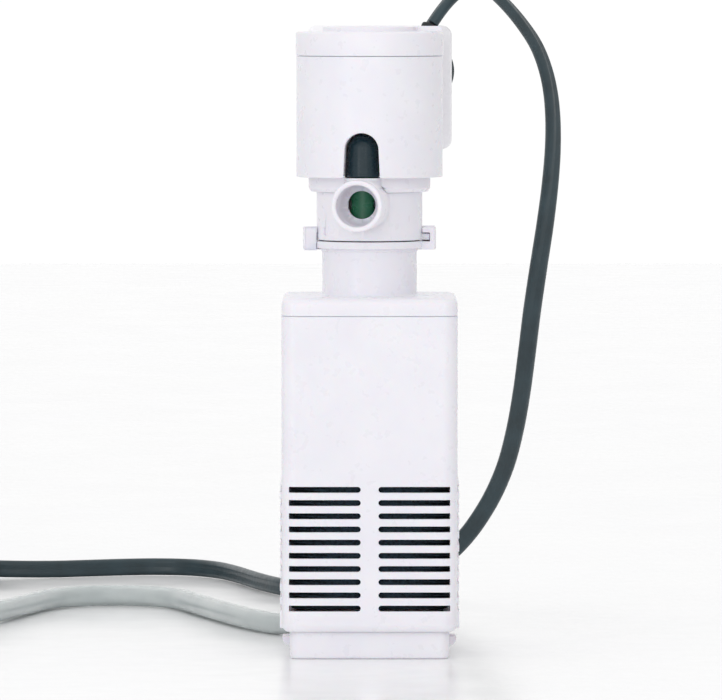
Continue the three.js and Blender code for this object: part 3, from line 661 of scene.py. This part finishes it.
# %% The strain relief, ring by ring
def plug_relief():
    profile = [(0, 178.6), (5.0, 178.6, 0.3)]
    for k in range(7):
        y, radius = 180.2 + k * 2.7, 4.95 - k * 0.22
        profile += [(radius, y, 0.15), (radius - 0.08, y + 1.5, 0.3),
                    (2.95, y + 1.55, 0.1), (2.95, y + 2.65, 0.1)]
    profile += [(3.4, 199.1, 0.2), (3.35, 200, 0.4), (0, 200)]
    lay_down = (Matrix.Translation(Vector((PLUG_X, 0, PLUG_Z)) * MM)
                @ Matrix.Rotation(math.radians(-90), 4, "X"))
    return turned("plug_strain_relief", profile, LEAD_PVC, closed=False, segments=48, matrix=lay_down)


# %% Two pins, each with an insulating sleeve
def pin(name, side, corners, material):
    place = Matrix.Translation(Vector((PLUG_X + side * 9.3, 0, PLUG_Z)) * MM)
    return turned(name, corners, material, closed=False, segments=40,
                  matrix=place @ Matrix.Rotation(math.radians(-90), 4, "X"))


grip, relief_cone = plug_grip(), plug_relief()
hand_over(grip, "pump_head", "lead_pvc", "plug_body")
hand_over(relief_cone, "pump_head", "lead_pvc")
pins = []
for side, node in ((-1, "plug_pin_left"), (1, "plug_pin_right")):
    metal = pin(f"{node}_metal", side, [(0, 133.7), (1.98, 133.7, 1.5), (1.98, 143), (0, 143)], NICKEL)
    sleeve = pin(f"{node}_sleeve", side, [(0, 142.8), (1.9, 142.8, 0.2), (2, 143.6, 0.2), (2, 153.2), (0, 153.2)],
                 LEAD_PVC)
    hand_over(metal, "pump_head", "plug_nickel", node)
    hand_over(sleeve, "pump_head", "lead_pvc")
    pins += [metal, sleeve]

# %% [markdown]
# ## Ties for the coils
# Each coil is held by a nylon strap with a small catch. The strap is a flat section carried round
# the coil's own cross-section, a closed loop, so `skin` closes it end to end.


# %% A strap round a coil
def strap(name, centre, coil_radius, at, half_across, low, high):
    outline = rounded_box_outline(half_across + 0.75, (high - low) / 2 + 0.75, 1.6, 8)
    turn = Matrix.Rotation(math.radians(at), 4, "Z")
    place = Matrix.Translation(Vector((*centre, 0)) * MM) @ turn
    rings = []
    for k, (a, b) in enumerate(outline):
        before, after = Vector(outline[k - 1]), Vector(outline[(k + 1) % len(outline)])
        out = Vector(((after - before).y, -(after - before).x)).normalized()
        ring = []
        for width, thick in ((-2, -0.35), (-2, 0.2), (-1.8, 0.4), (1.8, 0.4), (2, 0.2), (2, -0.35)):
            ring.append((coil_radius + a + out.x * thick, width, (low + high) / 2 + b + out.y * thick))
        rings.append(ring)
    band = piece(name, *skin(rings, closed=True), TIE_PLASTIC, place)
    rim = coil_radius + half_across
    catch = block(name + "_catch", (rim + 0.3, rim + 2.1), (-2.6, 2.6),
                  ((low + high) / 2 - 2.4, (low + high) / 2 + 2.4), TIE_PLASTIC, place)
    round_edges(catch, 0.4)
    return band, catch


lead_band, lead_catch = strap("lead_strap", LEAD_COIL_CENTRE, 33.5, -45, 3.6, 1.4, 13.2)
hose_band, hose_catch = strap("hose_strap", HOSE_COIL_CENTRE, 35, 60, 3.4, 1.4, 14.8)
hand_over(lead_band, "pump_head", "tie_plastic", "cord_tie")
hand_over(lead_catch, "pump_head", "tie_plastic")
hand_over(hose_band, "pump_head", "tie_plastic", "hose_tie")
hand_over(hose_catch, "pump_head", "tie_plastic")

# %% [markdown]

# %% [markdown]
# ## The canister
# The canister is a square tube with ten rows of slots. The tube is a loft of rounded squares, down
# the outside and back up the inside. One row of eight cutters is made, and a small geometry
# node tree repeats it up the wall and cuts every row at once. That is what nodes are best at: the
# number of rows and their pitch stay two plain inputs that anyone may change.

# %% Sizes shared by the canister's pieces
BODY_X, BODY_Y, BODY_CORNER, WALL = 25.7, 25.2, 4.5, 1.6
SLOT_ROWS, SLOT_PITCH, SLOT_FIRST, SLOT_HEIGHT = 10, 3.855, 15.0, 1.7


def square_rings(half_x, half_y, corner, levels, per_corner=8):
    return [[(a, b, z) for a, b in
             rounded_box_outline(half_x - inset, half_y - inset, corner - inset, per_corner)]
            for z, inset in levels]


# %% The tube and its side pads
def canister_tube():
    outside = [(8.05, 1.4), (8.25, 1.0), (8.6, 0.66), (9.1, 0.33), (9.65, 0.1), (10.2, 0), (54, 0), (99.8, 0),
               (100.15, 0.02), (100.22, 0.1)]
    inside = [(100.22, 1.4), (99.95, 1.6), (54, 1.6), (8.2, 1.6), (8.05, 1.5)]
    rings = square_rings(BODY_X, BODY_Y, BODY_CORNER, outside + inside)
    tube = piece("canister_shell", *skin(rings, closed=True), WHITE_ABS)
    pads = []
    for side in (-1, 1):
        outline = rounded_box_outline(20.5, 21.3, 1.2, 5)
        rings = [[(side * x, a * (1 - inset / 20.5), 30.1 + b * (1 - inset / 21.3)) for a, b in outline]
                 for x, inset in ((25.0, 0), (25.95, 0), (26.12, 0.08), (26.2, 0.28))]
        pads.append(piece("pad", *skin(rings), WHITE_ABS))
    return combine(tube, pads, "UNION")


# %% One row of cutters, round at the inner end where the slot is a wide one
def slot_row():
    half = SLOT_HEIGHT / 2
    wide = [(23.5, -half), (23.5, half)] + [
        (2.6 + half + half * math.cos(a), half * math.sin(a))
        for a in (math.pi / 2 + math.pi * k / 10 for k in range(11))]
    narrow = [(21, -half), (21, half), (2.6, half), (2.6, -half)]
    points, faces = [], []
    for outline, reach, turns in ((wide, BODY_Y, (0, 2)), (narrow, BODY_X, (1, 3))):
        for quarter in turns:
            for side in (-1, 1):
                turn = Matrix.Rotation(quarter * math.pi / 2, 4, "Z")
                rings = [[turn @ Vector((side * a, depth, b)) for a, b in outline]
                         for depth in (-reach - 3, -reach + 4)]
                more, sides = skin(rings)
                faces += [tuple(len(points) + i for i in face) for face in sides]
                points += more
    return piece("slot_cutters", points, faces, WHITE_ABS)


# %% A node tree that repeats the row and cuts it away
def slot_tree():
    tree = bpy.data.node_groups.new("cut_slot_rows", "GeometryNodeTree")
    face = tree.interface
    face.new_socket("Geometry", in_out="INPUT", socket_type="NodeSocketGeometry")
    face.new_socket("Row of cutters", in_out="INPUT", socket_type="NodeSocketObject")
    face.new_socket("Rows", in_out="INPUT", socket_type="NodeSocketInt")
    face.new_socket("Pitch", in_out="INPUT", socket_type="NodeSocketFloat")
    face.new_socket("First row height", in_out="INPUT", socket_type="NodeSocketFloat")
    face.new_socket("Finish", in_out="INPUT", socket_type="NodeSocketMaterial")
    face.new_socket("Geometry", in_out="OUTPUT", socket_type="NodeSocketGeometry")
    add, link = tree.nodes.new, tree.links.new
    given, result = add("NodeGroupInput"), add("NodeGroupOutput")
    start, step = add("ShaderNodeCombineXYZ"), add("ShaderNodeCombineXYZ")
    line, cutters = add("GeometryNodeMeshLine"), add("GeometryNodeObjectInfo")
    place, real = add("GeometryNodeInstanceOnPoints"), add("GeometryNodeRealizeInstances")
    cut, coat = add("GeometryNodeMeshBoolean"), add("GeometryNodeSetMaterial")
    cut.operation, cut.solver = "DIFFERENCE", "EXACT"
    link(given.outputs["First row height"], start.inputs["Z"])
    link(given.outputs["Pitch"], step.inputs["Z"])
    link(given.outputs["Rows"], line.inputs["Count"])
    link(start.outputs["Vector"], line.inputs["Start Location"])
    link(step.outputs["Vector"], line.inputs["Offset"])
    link(given.outputs["Row of cutters"], cutters.inputs["Object"])
    link(line.outputs["Mesh"], place.inputs["Points"])
    link(cutters.outputs["Geometry"], place.inputs["Instance"])
    link(place.outputs["Instances"], real.inputs["Geometry"])
    link(given.outputs["Geometry"], cut.inputs["Mesh 1"])
    link(real.outputs["Geometry"], cut.inputs["Mesh 2"])
    link(cut.outputs["Mesh"], coat.inputs["Geometry"])
    link(given.outputs["Finish"], coat.inputs["Material"])
    link(coat.outputs["Geometry"], result.inputs["Geometry"])
    return tree


# %% Run a node tree on a piece, with its inputs given by name
def run_tree(obj, tree, **values):
    step = obj.modifiers.new(tree.name, "NODES")
    step.node_group = tree
    for item in tree.interface.items_tree:
        key = item.name.replace(" ", "_")
        if item.item_type == "SOCKET" and item.in_out == "INPUT" and key in values:
            step[item.identifier] = values[key]
    obj.update_tag()
    return settle(obj)


shell, cutters = canister_tube(), slot_row()
run_tree(shell, slot_tree(), Row_of_cutters=cutters, Rows=SLOT_ROWS, Pitch=SLOT_PITCH * MM,
         First_row_height=SLOT_FIRST * MM, Finish=WHITE_ABS)
bpy.data.objects.remove(cutters)
round_edges(shell, 0.16, steps=2)
hand_over(shell, "canister", "white_abs", "canister_body")
print("canister shell:", len(shell.data.polygons), "faces")

# %% [markdown]
# ## The lid, its neck and the bayonet hooks
# The lid drops into the canister and carries a short neck with two hooks. The plate is a loft that
# changes from a rounded square to the round bore of the neck; matching points by their angle keeps
# the faces even. The hooks are a C-shaped section carried round an arc, closed by a stop.


# %% The lid's plate
def lid_plate():
    skirt_x, skirt_y = BODY_X - WALL - 0.3, BODY_Y - WALL - 0.3

    def bore(z, like):
        return [(12.2 * math.cos(math.atan2(b, a)), 12.2 * math.sin(math.atan2(b, a)), z) for a, b, _ in like]

    fillet = [(103.5 + 2 * math.sin(t), 2 * (1 - math.cos(t)))
              for t in (math.pi / 2 * k / 8 for k in range(9))]
    outer = square_rings(BODY_X, BODY_Y, BODY_CORNER, [(100.34, 0.1), (100.4, 0.02), (100.6, 0), *fillet])
    under = square_rings(skirt_x - 1.4, skirt_y - 1.4, 2, [(103.7, 0), (97.4, 0)])
    skirt = square_rings(skirt_x, skirt_y, 2.6, [(97.4, 0.3), (97.8, 0), (100.34, 0)])
    rings = [bore(103.7, under[0]), *under, *skirt, *outer, bore(105.5, outer[-1])]
    return piece("lid_plate", *skin(rings, closed=True), WHITE_ABS)


# %% The neck
NECK_PROFILE = [
    (12.2, 104), (14.6, 104), (14.6, 105.4), (14.2, 105.62), (13.98, 105.9), (13.9, 106.3), (13.9, 118.6, 0.2),
    (14.3, 118.6, 0.15), (14.3, 119.4, 0.15), (15.9, 119.4, 0.3), (15.9, 121.5, 0.25), (14.9, 121.5, 0.1),
    (14.9, 120.5), (13.4, 120.5), (13.4, 121.5, 0.1), (12.2, 121.5, 0.2),
]


# %% One bayonet hook
def hook(name, turn):
    c_section = [(14.6, 119), (19.6, 119), (19.6, 125.6), (15.9, 125.6), (15.9, 124), (18.2, 124),
                 (18.2, 121.4), (14.6, 121.4)]
    stop_section = [(16, 119.02), (19.58, 119.02), (19.58, 125.58), (16, 125.58)]
    halves = []
    for section, start, end in ((c_section, -13.5, 14.1), (stop_section, 10.8, 14.2)):
        rings = []
        for k in range(9):
            angle = math.radians(turn + start + (end - start) * k / 8)
            rings.append([(r * math.cos(angle), r * math.sin(angle), z) for r, z in section])
        halves.append(piece(name, *skin(rings), WHITE_ABS))
    combine(halves[0], [halves[1]], "UNION")
    return round_edges(halves[0], 0.22, steps=3)


hand_over(lid_plate(), "canister", "white_abs", "canister_lid")
hand_over(turned("lid_neck", NECK_PROFILE, WHITE_ABS, segments=112), "canister", "white_abs", "canister_lid")
hand_over(hook("hook_right", 0), "canister", "white_abs", "canister_lid")
hand_over(hook("hook_left", 180), "canister", "white_abs", "canister_lid")

# %% [markdown]
# ## The foam block
# Only a dark sliver of foam shows through each slot, but it catches the eye because it is rough. A
# dense box is pushed in and out by noise, which gives real relief that a bump texture alone can't.


# %% Rough foam
def foam_block():
    levels = [(14.6, 1.4), (14.9, 0.6), (15.4, 0.15)] + [(16 + 1.3 * k, 0) for k in range(60)]
    levels += [(94, 0.15), (94.5, 0.6), (94.8, 1.4)]
    rings = []
    for z, inset in levels:
        outline = rounded_box_outline(23.4 - inset, 22.9 - inset, 2.4, 4)
        ring = []
        for k, here in enumerate(outline):
            ahead = outline[(k + 1) % len(outline)]
            span = math.dist(here, ahead)
            count = max(1, round(span / 1.3))
            ring += [(here[0] + (ahead[0] - here[0]) * s / count, here[1] + (ahead[1] - here[1]) * s / count, z)
                     for s in range(count)]
        rings.append(ring)
    obj = piece("foam_block", *skin(rings), FOAM)
    from mathutils import noise as field
    for vertex in obj.data.vertices:
        push = field.noise(vertex.co * 900) * 0.22 + field.noise(vertex.co * 350) * 0.16
        flat = Vector((vertex.co.x, vertex.co.y, 0)).normalized()
        vertex.co += flat * push * MM
    shade(obj, 80)
    return obj


hand_over(foam_block(), "canister", "foam", "filter_sponge")

# %% [markdown]
# ## The base
# The base is a shallow tray that snaps into the canister's foot. Two quarter-round ears at the
# sides are the finger grips that release it.


# %% The tray
def base_tray():
    outside = [(0, 1.0), (0.06, 0.6), (0.25, 0.28), (0.6, 0.06), (1.0, 0), (13.8, 0), (13.95, 0.08), (14, 0.25)]
    inside = [(14, 1.4), (13.9, 1.6), (3, 1.6), (2.3, 1.8), (2, 2.4)]
    return piece("base_tray", *skin(square_rings(23.3, 22.8, 3, outside + inside)), WHITE_ABS)


# %% The ears
def base_ear(name, side):
    curve = [(1 - t) ** 2 * Vector((22.3, 2)) + 2 * t * (1 - t) * Vector((25.6, 2)) + t * t * Vector((25.6, 5.1))
             for t in (k / 12 for k in range(13))]
    outline = [(p.x, p.y) for p in curve] + [(22.3, 5.1)]
    rings = [[(side * x, y, z) for x, z in outline] for y in (-4, 4)]
    return round_edges(piece(name, *skin(rings), WHITE_ABS), 0.25)


hand_over(base_tray(), "base", "white_abs", "base_cap")
hand_over(base_ear("ear_right", 1), "base", "white_abs", "base_cap")
hand_over(base_ear("ear_left", -1), "base", "white_abs", "base_cap")

# %% [markdown]
# ## The pump head
# The whole head is locked a few degrees off square, so every piece of it takes the same turn. The
# pump chamber is a barrel with a spout: two turned solids joined, then bored out. Joining first and
# boring afterwards is how the mould is cut too, and it leaves one clean skin inside and out.

# %% Tools shared by the head's pieces
KNOB_Y, SPOUT_Z = -15.6, 132.6


def at_knob(profile, name, closed=False, segments=64):
    return turned(name, profile, WHITE_ABS, closed, segments,
                  Matrix.Translation(Vector((0, KNOB_Y, 0)) * MM))


NICHE_FLOOR, NICHE_HALF, NICHE_TOP, NICHE_FLARE = 140.5, 4.95, 153.5, 0.35


# The arch's right half, from its flared foot to the last point before the crown
def niche_half():
    middle = NICHE_TOP - NICHE_HALF
    curve = [(NICHE_HALF * math.cos(t), middle + NICHE_HALF * math.sin(t))
             for t in (math.pi / 2 * k / 14 for k in range(14))]
    return [(NICHE_HALF + NICHE_FLARE, NICHE_FLOOR), *curve]


def niche_pocket():
    return at_knob([(0, NICHE_FLOOR), *niche_half(), (0, NICHE_TOP)], "niche_pocket")


def niche_way():
    right = niche_half()
    arch = [*right, (0, NICHE_TOP), *((-x, z) for x, z in reversed(right))]
    return piece("niche_way", *skin([[(x, y, z) for x, z in arch] for y in (-26, KNOB_Y)]), WHITE_ABS)


# %% The pump chamber
def world_square(geometry_angle=0):
    return HEAD_TURN.inverted() @ Matrix.Rotation(math.radians(geometry_angle), 4, "Z")


def locking_ear(turn):
    rings = []
    for k in range(7):
        angle = math.radians(-9.8 + 19.6 * k / 6)
        rings.append([(r * math.cos(angle), r * math.sin(angle), z)
                      for r, z in ((14.4, 121.8), (17.9, 121.8), (17.9, 123.7), (14.4, 123.7))])
    return round_edges(piece("ear", *skin(rings), WHITE_ABS, world_square(turn)), 0.2, steps=2)


def pump_chamber():
    barrel = turned("pump_barrel", [(0, 121.8), (15.56, 121.8, 0.35), (15.56, 135.9, 0.1), (0, 135.9)],
                    WHITE_ABS, closed=False, segments=112)
    lay = Matrix.Translation(Vector((0, -33.5, SPOUT_Z)) * MM) @ Matrix.Rotation(math.radians(-90), 4, "X")
    spout = turned("spout", [(0, 0), (7.5, 0, 0.6), (7.5, 22.5), (0, 22.5)], WHITE_ABS,
                   closed=False, matrix=lay)
    back_boss = bar("boss", 4.2, 13.4, 18.4, 0, 129.5, matrix=world_square())
    seat = at_knob([(0, 134), (5.6, 134), (5.6, 140.35, 0.15), (0, 140.35)], "valve_seat")
    combine(barrel, [spout, seat, back_boss, locking_ear(0), locking_ear(180)], "UNION")
    combine(barrel, [
        turned("volute", [(0, 122.9), (8.9, 122.9), (8.9, 137), (0, 137)], WHITE_ABS, closed=False),
        turned("recess", [(0, 120.8), (13, 120.8), (13, 123.9), (0, 123.9)], WHITE_ABS, closed=False),
        turned("outlet_bore", [(0, -1), (6.9, -1), (6.6, 0), (6.25, 0.2), (6.05, 0.55), (6, 1), (6, 13), (0, 13)],
               WHITE_ABS, closed=False, matrix=lay),
        bar("throat", 4.1, -21.5, -12, 0, SPOUT_Z, segments=64),
        at_knob([(0, 127.1), (4.75, 127.1), (4.75, 142), (0, 142)], "valve_pocket"),
        block("way_out", (-3.4, 3.4), (-13, -6), (126, 133.4)),
        bar("nipple_hole", 2.6, 7.9, 22, 0, 129.5, matrix=world_square(), segments=32),
        block("notch", (-0.75, 0.75), (-16.6, -14.9), (123.4, 125.6), matrix=world_square(-58)),
    ])
    barrel.data.transform(HEAD_TURN)
    return barrel


hand_over(pump_chamber(), "pump_head", "white_abs", "pump_chamber")

# %% [markdown]
# The valve is a bottle-green spindle with a hole across it. Turning the knob swings that hole into
# line with the spout. From the front it shows as a green drum deep inside the bore.


# %% The flow valve
def flow_valve():
    profile = [(0, 127.6), (4.2, 127.6, 0.3), (4.2, 137.4, 0.2), (3.15, 137.4), (3.15, 138.9), (4.2, 138.9, 0.2),
               (4.2, 139.9), (4.45, 139.9, 0.1), (4.45, 140.4, 0.15), (1.8, 140.4), (1.8, 146, 0.2), (0, 146)]
    drum = at_knob(profile, "valve_drum")
    port = bar("port", 2.7, -6, 6, 0, 0)
    port.data.transform(Matrix.Translation(Vector((0, KNOB_Y, SPOUT_Z)) * MM)
                        @ Matrix.Rotation(math.radians(90), 4, "Z"))
    combine(drum, [port])
    round_edges(drum, 0.15, steps=2)
    drum.data.transform(HEAD_TURN)
    drum.data.materials.clear()
    drum.data.materials.append(VALVE_ABS)
    return drum


hand_over(flow_valve(), "flow_control", "valve_abs", "flow_valve")


# %% The flow knob: a tapered bullet on a thin foot
def flow_knob():
    dome = [(4.68 * math.cos(t), 148.4 + 4.8 * math.sin(t))
            for t in (math.pi / 2 * k / 16 for k in range(16))]
    profile = [(0, 146.4), (2.1, 146.4), (2.1, 140.6), (5.08, 140.6, 0.2), (5.05, 141.3, 0.3), (4.96, 141.5, 0.1),
               (4.84, 145), *dome, (0, 153.2)]
    knob = turned("knob_bullet", profile, KNOB_ABS, closed=False, segments=72,
                  matrix=HEAD_TURN @ Matrix.Translation(Vector((0, KNOB_Y, 0)) * MM))
    return knob


hand_over(flow_knob(), "flow_control", "knob_abs", "flow_knob")

# %% [markdown]
# ## Housing, cover and cap
# The motor sits in a sealed cup with a collar at its foot. A plain sleeve covers the cup, and a cap
# closes it. The sleeve and the cup share one arched niche, cut with the same tools, where the knob
# stands. The gap left between cap and sleeve is the fine seam line near the top.


# %% The motor's housing
def motor_housing():
    cup = turned("housing_cup", [
        (0, 158), (6, 158), (6, 136), (17.1, 136, 0.2), (17.9, 137.1, 0.7), (17.9, 140.9, 0.1), (19.4, 140.9, 0.2),
        (19.4, 173.5, 0.2), (18.2, 173.5), (18.2, 142.7), (7, 142.7), (7, 159.2), (0, 159.2),
    ], WHITE_ABS, closed=False, segments=112)
    wall = at_knob([(0, 140.9), (7.1, 140.9), (7.1, 156.2), (0, 156.2)], "niche_wall")
    limit = turned("limit", [(0, 140), (19.2, 140), (19.2, 173), (0, 173)], WHITE_ABS, closed=False)
    combine(wall, [limit], "INTERSECT")
    combine(cup, [wall], "UNION")
    combine(cup, [niche_pocket(), niche_way(), bar("spout_way", 7.56, -26, -10.7, 0, SPOUT_Z),
                  at_knob([(0, 134), (4.7, 134), (4.7, 142), (0, 142)], "spindle_way")])
    round_edges(cup, 0.18, steps=2)
    cup.data.transform(HEAD_TURN)
    return cup


# %% The cover sleeve with its niche
def cover_sleeve():
    wall = [(21.5, 140.3, 0.35), (21.5, 175.8, 0.12), (20, 175.8, 0.1), (20, 140.3, 0.3)]
    sleeve = turned("cover_sleeve", wall,
                    WHITE_ABS, segments=128)
    way, foot_half = niche_way(), NICHE_HALF + NICHE_FLARE
    foot = block("niche_foot", (-foot_half, foot_half), (-26, KNOB_Y), (139, NICHE_FLOOR + 0.5))
    combine(sleeve, [way, foot])
    round_edges(sleeve, 0.4, steps=4)
    sleeve.data.transform(HEAD_TURN)
    return sleeve


# %% The T-shaped rail at the back, for the bracket
def cover_rail():
    stem = block("cover_rail", (-3.5, 3.5), (20.9, 24), (146, 172))
    head = block("rail_head", (-6.5, 6.5), (23.2, 24.8), (146, 171.98))
    ledge = block("rail_ledge", (-8.4, 8.4), (19.4, 24.78), (146.02, 147.6))
    combine(stem, [head, ledge], "UNION")
    round_edges(stem, 0.25)
    stem.data.transform(HEAD_TURN)
    return stem


hand_over(motor_housing(), "pump_head", "white_abs", "motor_housing")
hand_over(cover_sleeve(), "pump_head", "white_abs", "motor_cover")
hand_over(cover_rail(), "pump_head", "white_abs", "motor_cover")

# %% [markdown]
# The cap is turned in one piece with a low ring on top. The lead leaves through a small square boss
# that is trimmed to the cap's own curve: each point of its loft that would stand proud is moved back
# onto the circle.

# %% The cap
CAP_PROFILE = [
    (0, 181.4), (18.7, 181.4, 0.5), (18.7, 174.2, 0.2), (19.7, 174.2, 0.3), (19.7, 175.95), (21.7, 175.95, 0.12),
    (21.7, 183, 0.8), (13.95, 183, 0.35), (13.6, 184.4, 0.35), (12.4, 184.4, 0.3), (12.2, 182.8, 0.4), (0, 182.8),
]
LEAN = (Matrix.Translation(Vector((18, 6.4, 184.6)) * MM) @ Matrix.Rotation(math.radians(36), 4, "Z")
        @ Matrix.Rotation(math.radians(28), 4, "Y"))


def lead_boss():
    levels = [(182.5, -0.9), (182.98, -0.8), (183.15, -0.4), (183.45, -0.1), (183.8, 0), (184.25, 0),
              (184.5, 0.1), (184.6, 0.35)]
    rings = []
    for z, inset in levels:
        ring = []
        for a, b in rounded_box_outline(4.4 - inset, 4 - inset, 1.8 - inset * 0.5, 8):
            x, y = 18 + a, 6.4 + b
            limit = 21.66 - (0.25 if z > 184.3 else 0.05) - (0.2 if z > 184.55 else 0)
            scale = min(1.0, limit / math.hypot(x, y))
            ring.append((x * scale, y * scale, z))
        rings.append(ring)
    for drop in (0, 1.2, 3):
        ring = []
        for x, y, _ in rings[len(levels) - 1]:
            angle = math.atan2(y - 6.4, x - 18)
            lean = 1 / math.sqrt(1 - (math.sin(math.radians(28)) * math.cos(angle - math.radians(36))) ** 2)
            radius = (2.85 if drop == 0 else 2.7) * lean
            slide = -drop * math.tan(math.radians(28))
            ring.append((18 + radius * math.cos(angle) + slide * math.cos(math.radians(36)),
                         6.4 + radius * math.sin(angle) + slide * math.sin(math.radians(36)), 184.6 - drop))
        rings.append(ring)
    return piece("lead_boss", *skin(rings), WHITE_ABS)


def lead_gland():
    profile = [(0, -8.5), (1.6, -8.5, 0.2), (2.45, -3), (2.62, -0.4), (2.5, 0.05, 0.2), (2.1, 0.12), (0, 0.12)]
    return turned("lead_gland", profile, SEAL_RUBBER, closed=False, segments=48, matrix=LEAN)


hand_over(turned("head_cap", CAP_PROFILE, WHITE_ABS, closed=False, segments=128, matrix=HEAD_TURN),
          "pump_head", "white_abs", "top_cap")
hand_over(lead_boss(), "pump_head", "white_abs", "top_cap")
hand_over(lead_gland(), "pump_head", "black_rubber", "cord_gland")

# %% [markdown]
# ## The hose's nipple
# A bent spigot at the back of the chamber takes the hose. Two small barbs grip the hose's bore.


# %% The nipple and its barbs
def nipple():
    line, _ = even_line(smooth_line([(0, 12, 129.5), (0, 16, 129.5), (0, 19.2, 129.3), (0, 21.4, 127.1),
                                     (0, 23.5, 125)], 8), 0.5)
    arm = hose_mesh("hose_nipple", line, 4.3, 2.2, WHITE_ABS, 32)
    aim = Vector((0, 1, -1)).to_track_quat("Z", "Y").to_matrix().to_4x4()
    barbs = []
    for y, z in ((21.7, 126.8), (22.6, 125.9)):
        barbs.append(turned(f"barb_{y}", [(1.5, 0), (2.45, 0, 0.08), (2.1, 0.8, 0.1), (1.5, 0.8)], WHITE_ABS,
                            segments=32, matrix=Matrix.Translation(Vector((0, y, z)) * MM) @ aim))
    combine(arm, barbs, "UNION")
    return arm


hand_over(nipple(), "pump_head", "white_abs", "air_nipple")

# %% [markdown]
# ## The bracket and its suction cups
# A thin plate slides down over the rail and carries two suction cups that hold the filter to the
# glass. The cups are soft, so their rims are thin and their shoulders are round.


# %% The bracket
def bracket_plate():
    outline = rounded_box_outline(21.6, 18.35, 3, 8)
    rings = [[(a * (1 - inset / 21.6), y, 166.25 + b * (1 - inset / 18.35)) for a, b in outline]
             for y, inset in ((25.1, 0.3), (25.2, 0.1), (25.4, 0), (26.8, 0), (27, 0.1), (27.1, 0.3))]
    # The plate takes the whiter copy of the white ABS, painted light on the bracket.
    plate = piece("bracket_plate", *skin(rings), BRACKET_PAINTED_LIGHT_ABS)
    lips = [block("lip", tuple(sorted((side * a, side * 8.4))), (21.9, depth), (147.95, 164))
            for side in (-1, 1) for a, depth in ((3.8, 22.9), (6.8, 25.6))]
    for lip in lips:
        round_edges(lip, 0.2, steps=2)
    combine(plate, lips, "UNION")
    combine(plate, [bar("cup_hole", 3.3, 22, 30, side * 11.8, 171) for side in (-1, 1)])
    plate.data.transform(HEAD_TURN)
    return plate


hand_over(bracket_plate(), "bracket", "white_abs", "hanger_bracket")

# %% The suction cups
CUP_PROFILE = [
    (0, 23.6), (4.2, 23.6, 0.4), (4.2, 24.8, 0.3), (3, 24.8), (3, 27.4, 0.3), (4.8, 27.4, 0.5), (6.6, 28.6, 1.5),
    (9.6, 31.9, 0.8), (9.9, 32.6, 0.3), (9.9, 33.2, 0.2), (9, 33.2, 0.3), (6, 30.7, 2), (3, 29.7, 2), (0, 29.5),
]
for side, word in ((-1, "left"), (1, "right")):
    face_back = (Matrix.Translation(Vector((side * 11.8, 0, 171)) * MM)
                 @ Matrix.Rotation(math.radians(-90), 4, "X"))
    cup = turned(f"cup_{word}", CUP_PROFILE, CUP_PVC, closed=False, segments=72, matrix=HEAD_TURN @ face_back)
    hand_over(cup, "bracket", "cup_rubber", f"suction_cup_{word}")

# %% [markdown]
# ## Floor and light
# The filter stands on a satin white table in a white surround that is dimmer at its sides, so the
# round head shades off towards its edges. A broad soft box stands over the camera, and a tall strip
# on each side of it lays an upright sheen on the dark knob. The Standard view keeps white as white,
# where Blender's usual view would turn it grey.


# %% The table and the surround
def light_panel(name, place, aim, size, power, colour="#FFFFFF"):
    data = bpy.data.lights.new(name, "AREA")
    data.shape, data.size, data.size_y = "RECTANGLE", size[0], size[1]
    data.energy, data.color = power, paint(colour)[:3]
    lamp = bpy.data.objects.new(name, data)
    lamp.location = place
    lamp.rotation_euler = (Vector(aim) - Vector(place)).to_track_quat("-Z", "Y").to_euler()
    bpy.context.scene.collection.objects.link(lamp)
    return lamp


TABLE = finish("satin_white_laminate", "#FAFAFB", 0.2)
mottle(TABLE, "#F9F9FA", "#FCFCFC", 80)
uneven_gloss(TABLE, 40, 0.18, 0.24)
table = piece("table_top", [(-3000, -3000, 0), (3000, -3000, 0), (3000, 3000, 0), (-3000, 3000, 0)],
              [(0, 1, 2, 3)], TABLE)

world = bpy.data.worlds.new("white_surround")
world.use_nodes = True
bpy.context.scene.world = world
bpy.context.scene.view_settings.view_transform = "Standard"


# %% A surround that is bright in front and behind, and dimmer at the sides
def shade_surround(world, middle, left, right):
    nodes, links = world.node_tree.nodes, world.node_tree.links
    place, split = nodes.new("ShaderNodeTexCoord"), nodes.new("ShaderNodeSeparateXYZ")
    across = nodes.new("ShaderNodeMapRange")
    across.inputs["From Min"].default_value = -1
    ramp = nodes.new("ShaderNodeValToRGB")
    stops = ramp.color_ramp.elements
    stops.new(0.3)
    stops.new(0.7)
    for stop, (at, level) in zip(stops, ((0, left), (0.3, middle), (0.7, middle), (1, right))):
        stop.position, stop.color = at, (level, level, level, 1)
    links.new(place.outputs["Generated"], split.inputs[0])
    links.new(split.outputs["X"], across.inputs["Value"])
    links.new(across.outputs["Result"], ramp.inputs["Fac"])
    links.new(ramp.outputs["Color"], nodes["Background"].inputs["Color"])


SURROUND_STRENGTH = 1.02
shade_surround(world, middle=1.0, left=0.7, right=0.5)
world.node_tree.nodes["Background"].inputs["Strength"].default_value = SURROUND_STRENGTH
light_panel("front_soft_box", (-0.45, -2.6, 0.75), (0, 0, 0.1), (1.3, 1.5), 4)
light_panel("left_strip", (-0.62, -0.95, 0.25), (0, 0, 0.12), (0.06, 0.9), 1)
light_panel("right_strip", (0.34, -1.2, 0.25), (0, 0, 0.12), (0.05, 0.9), 0.6)
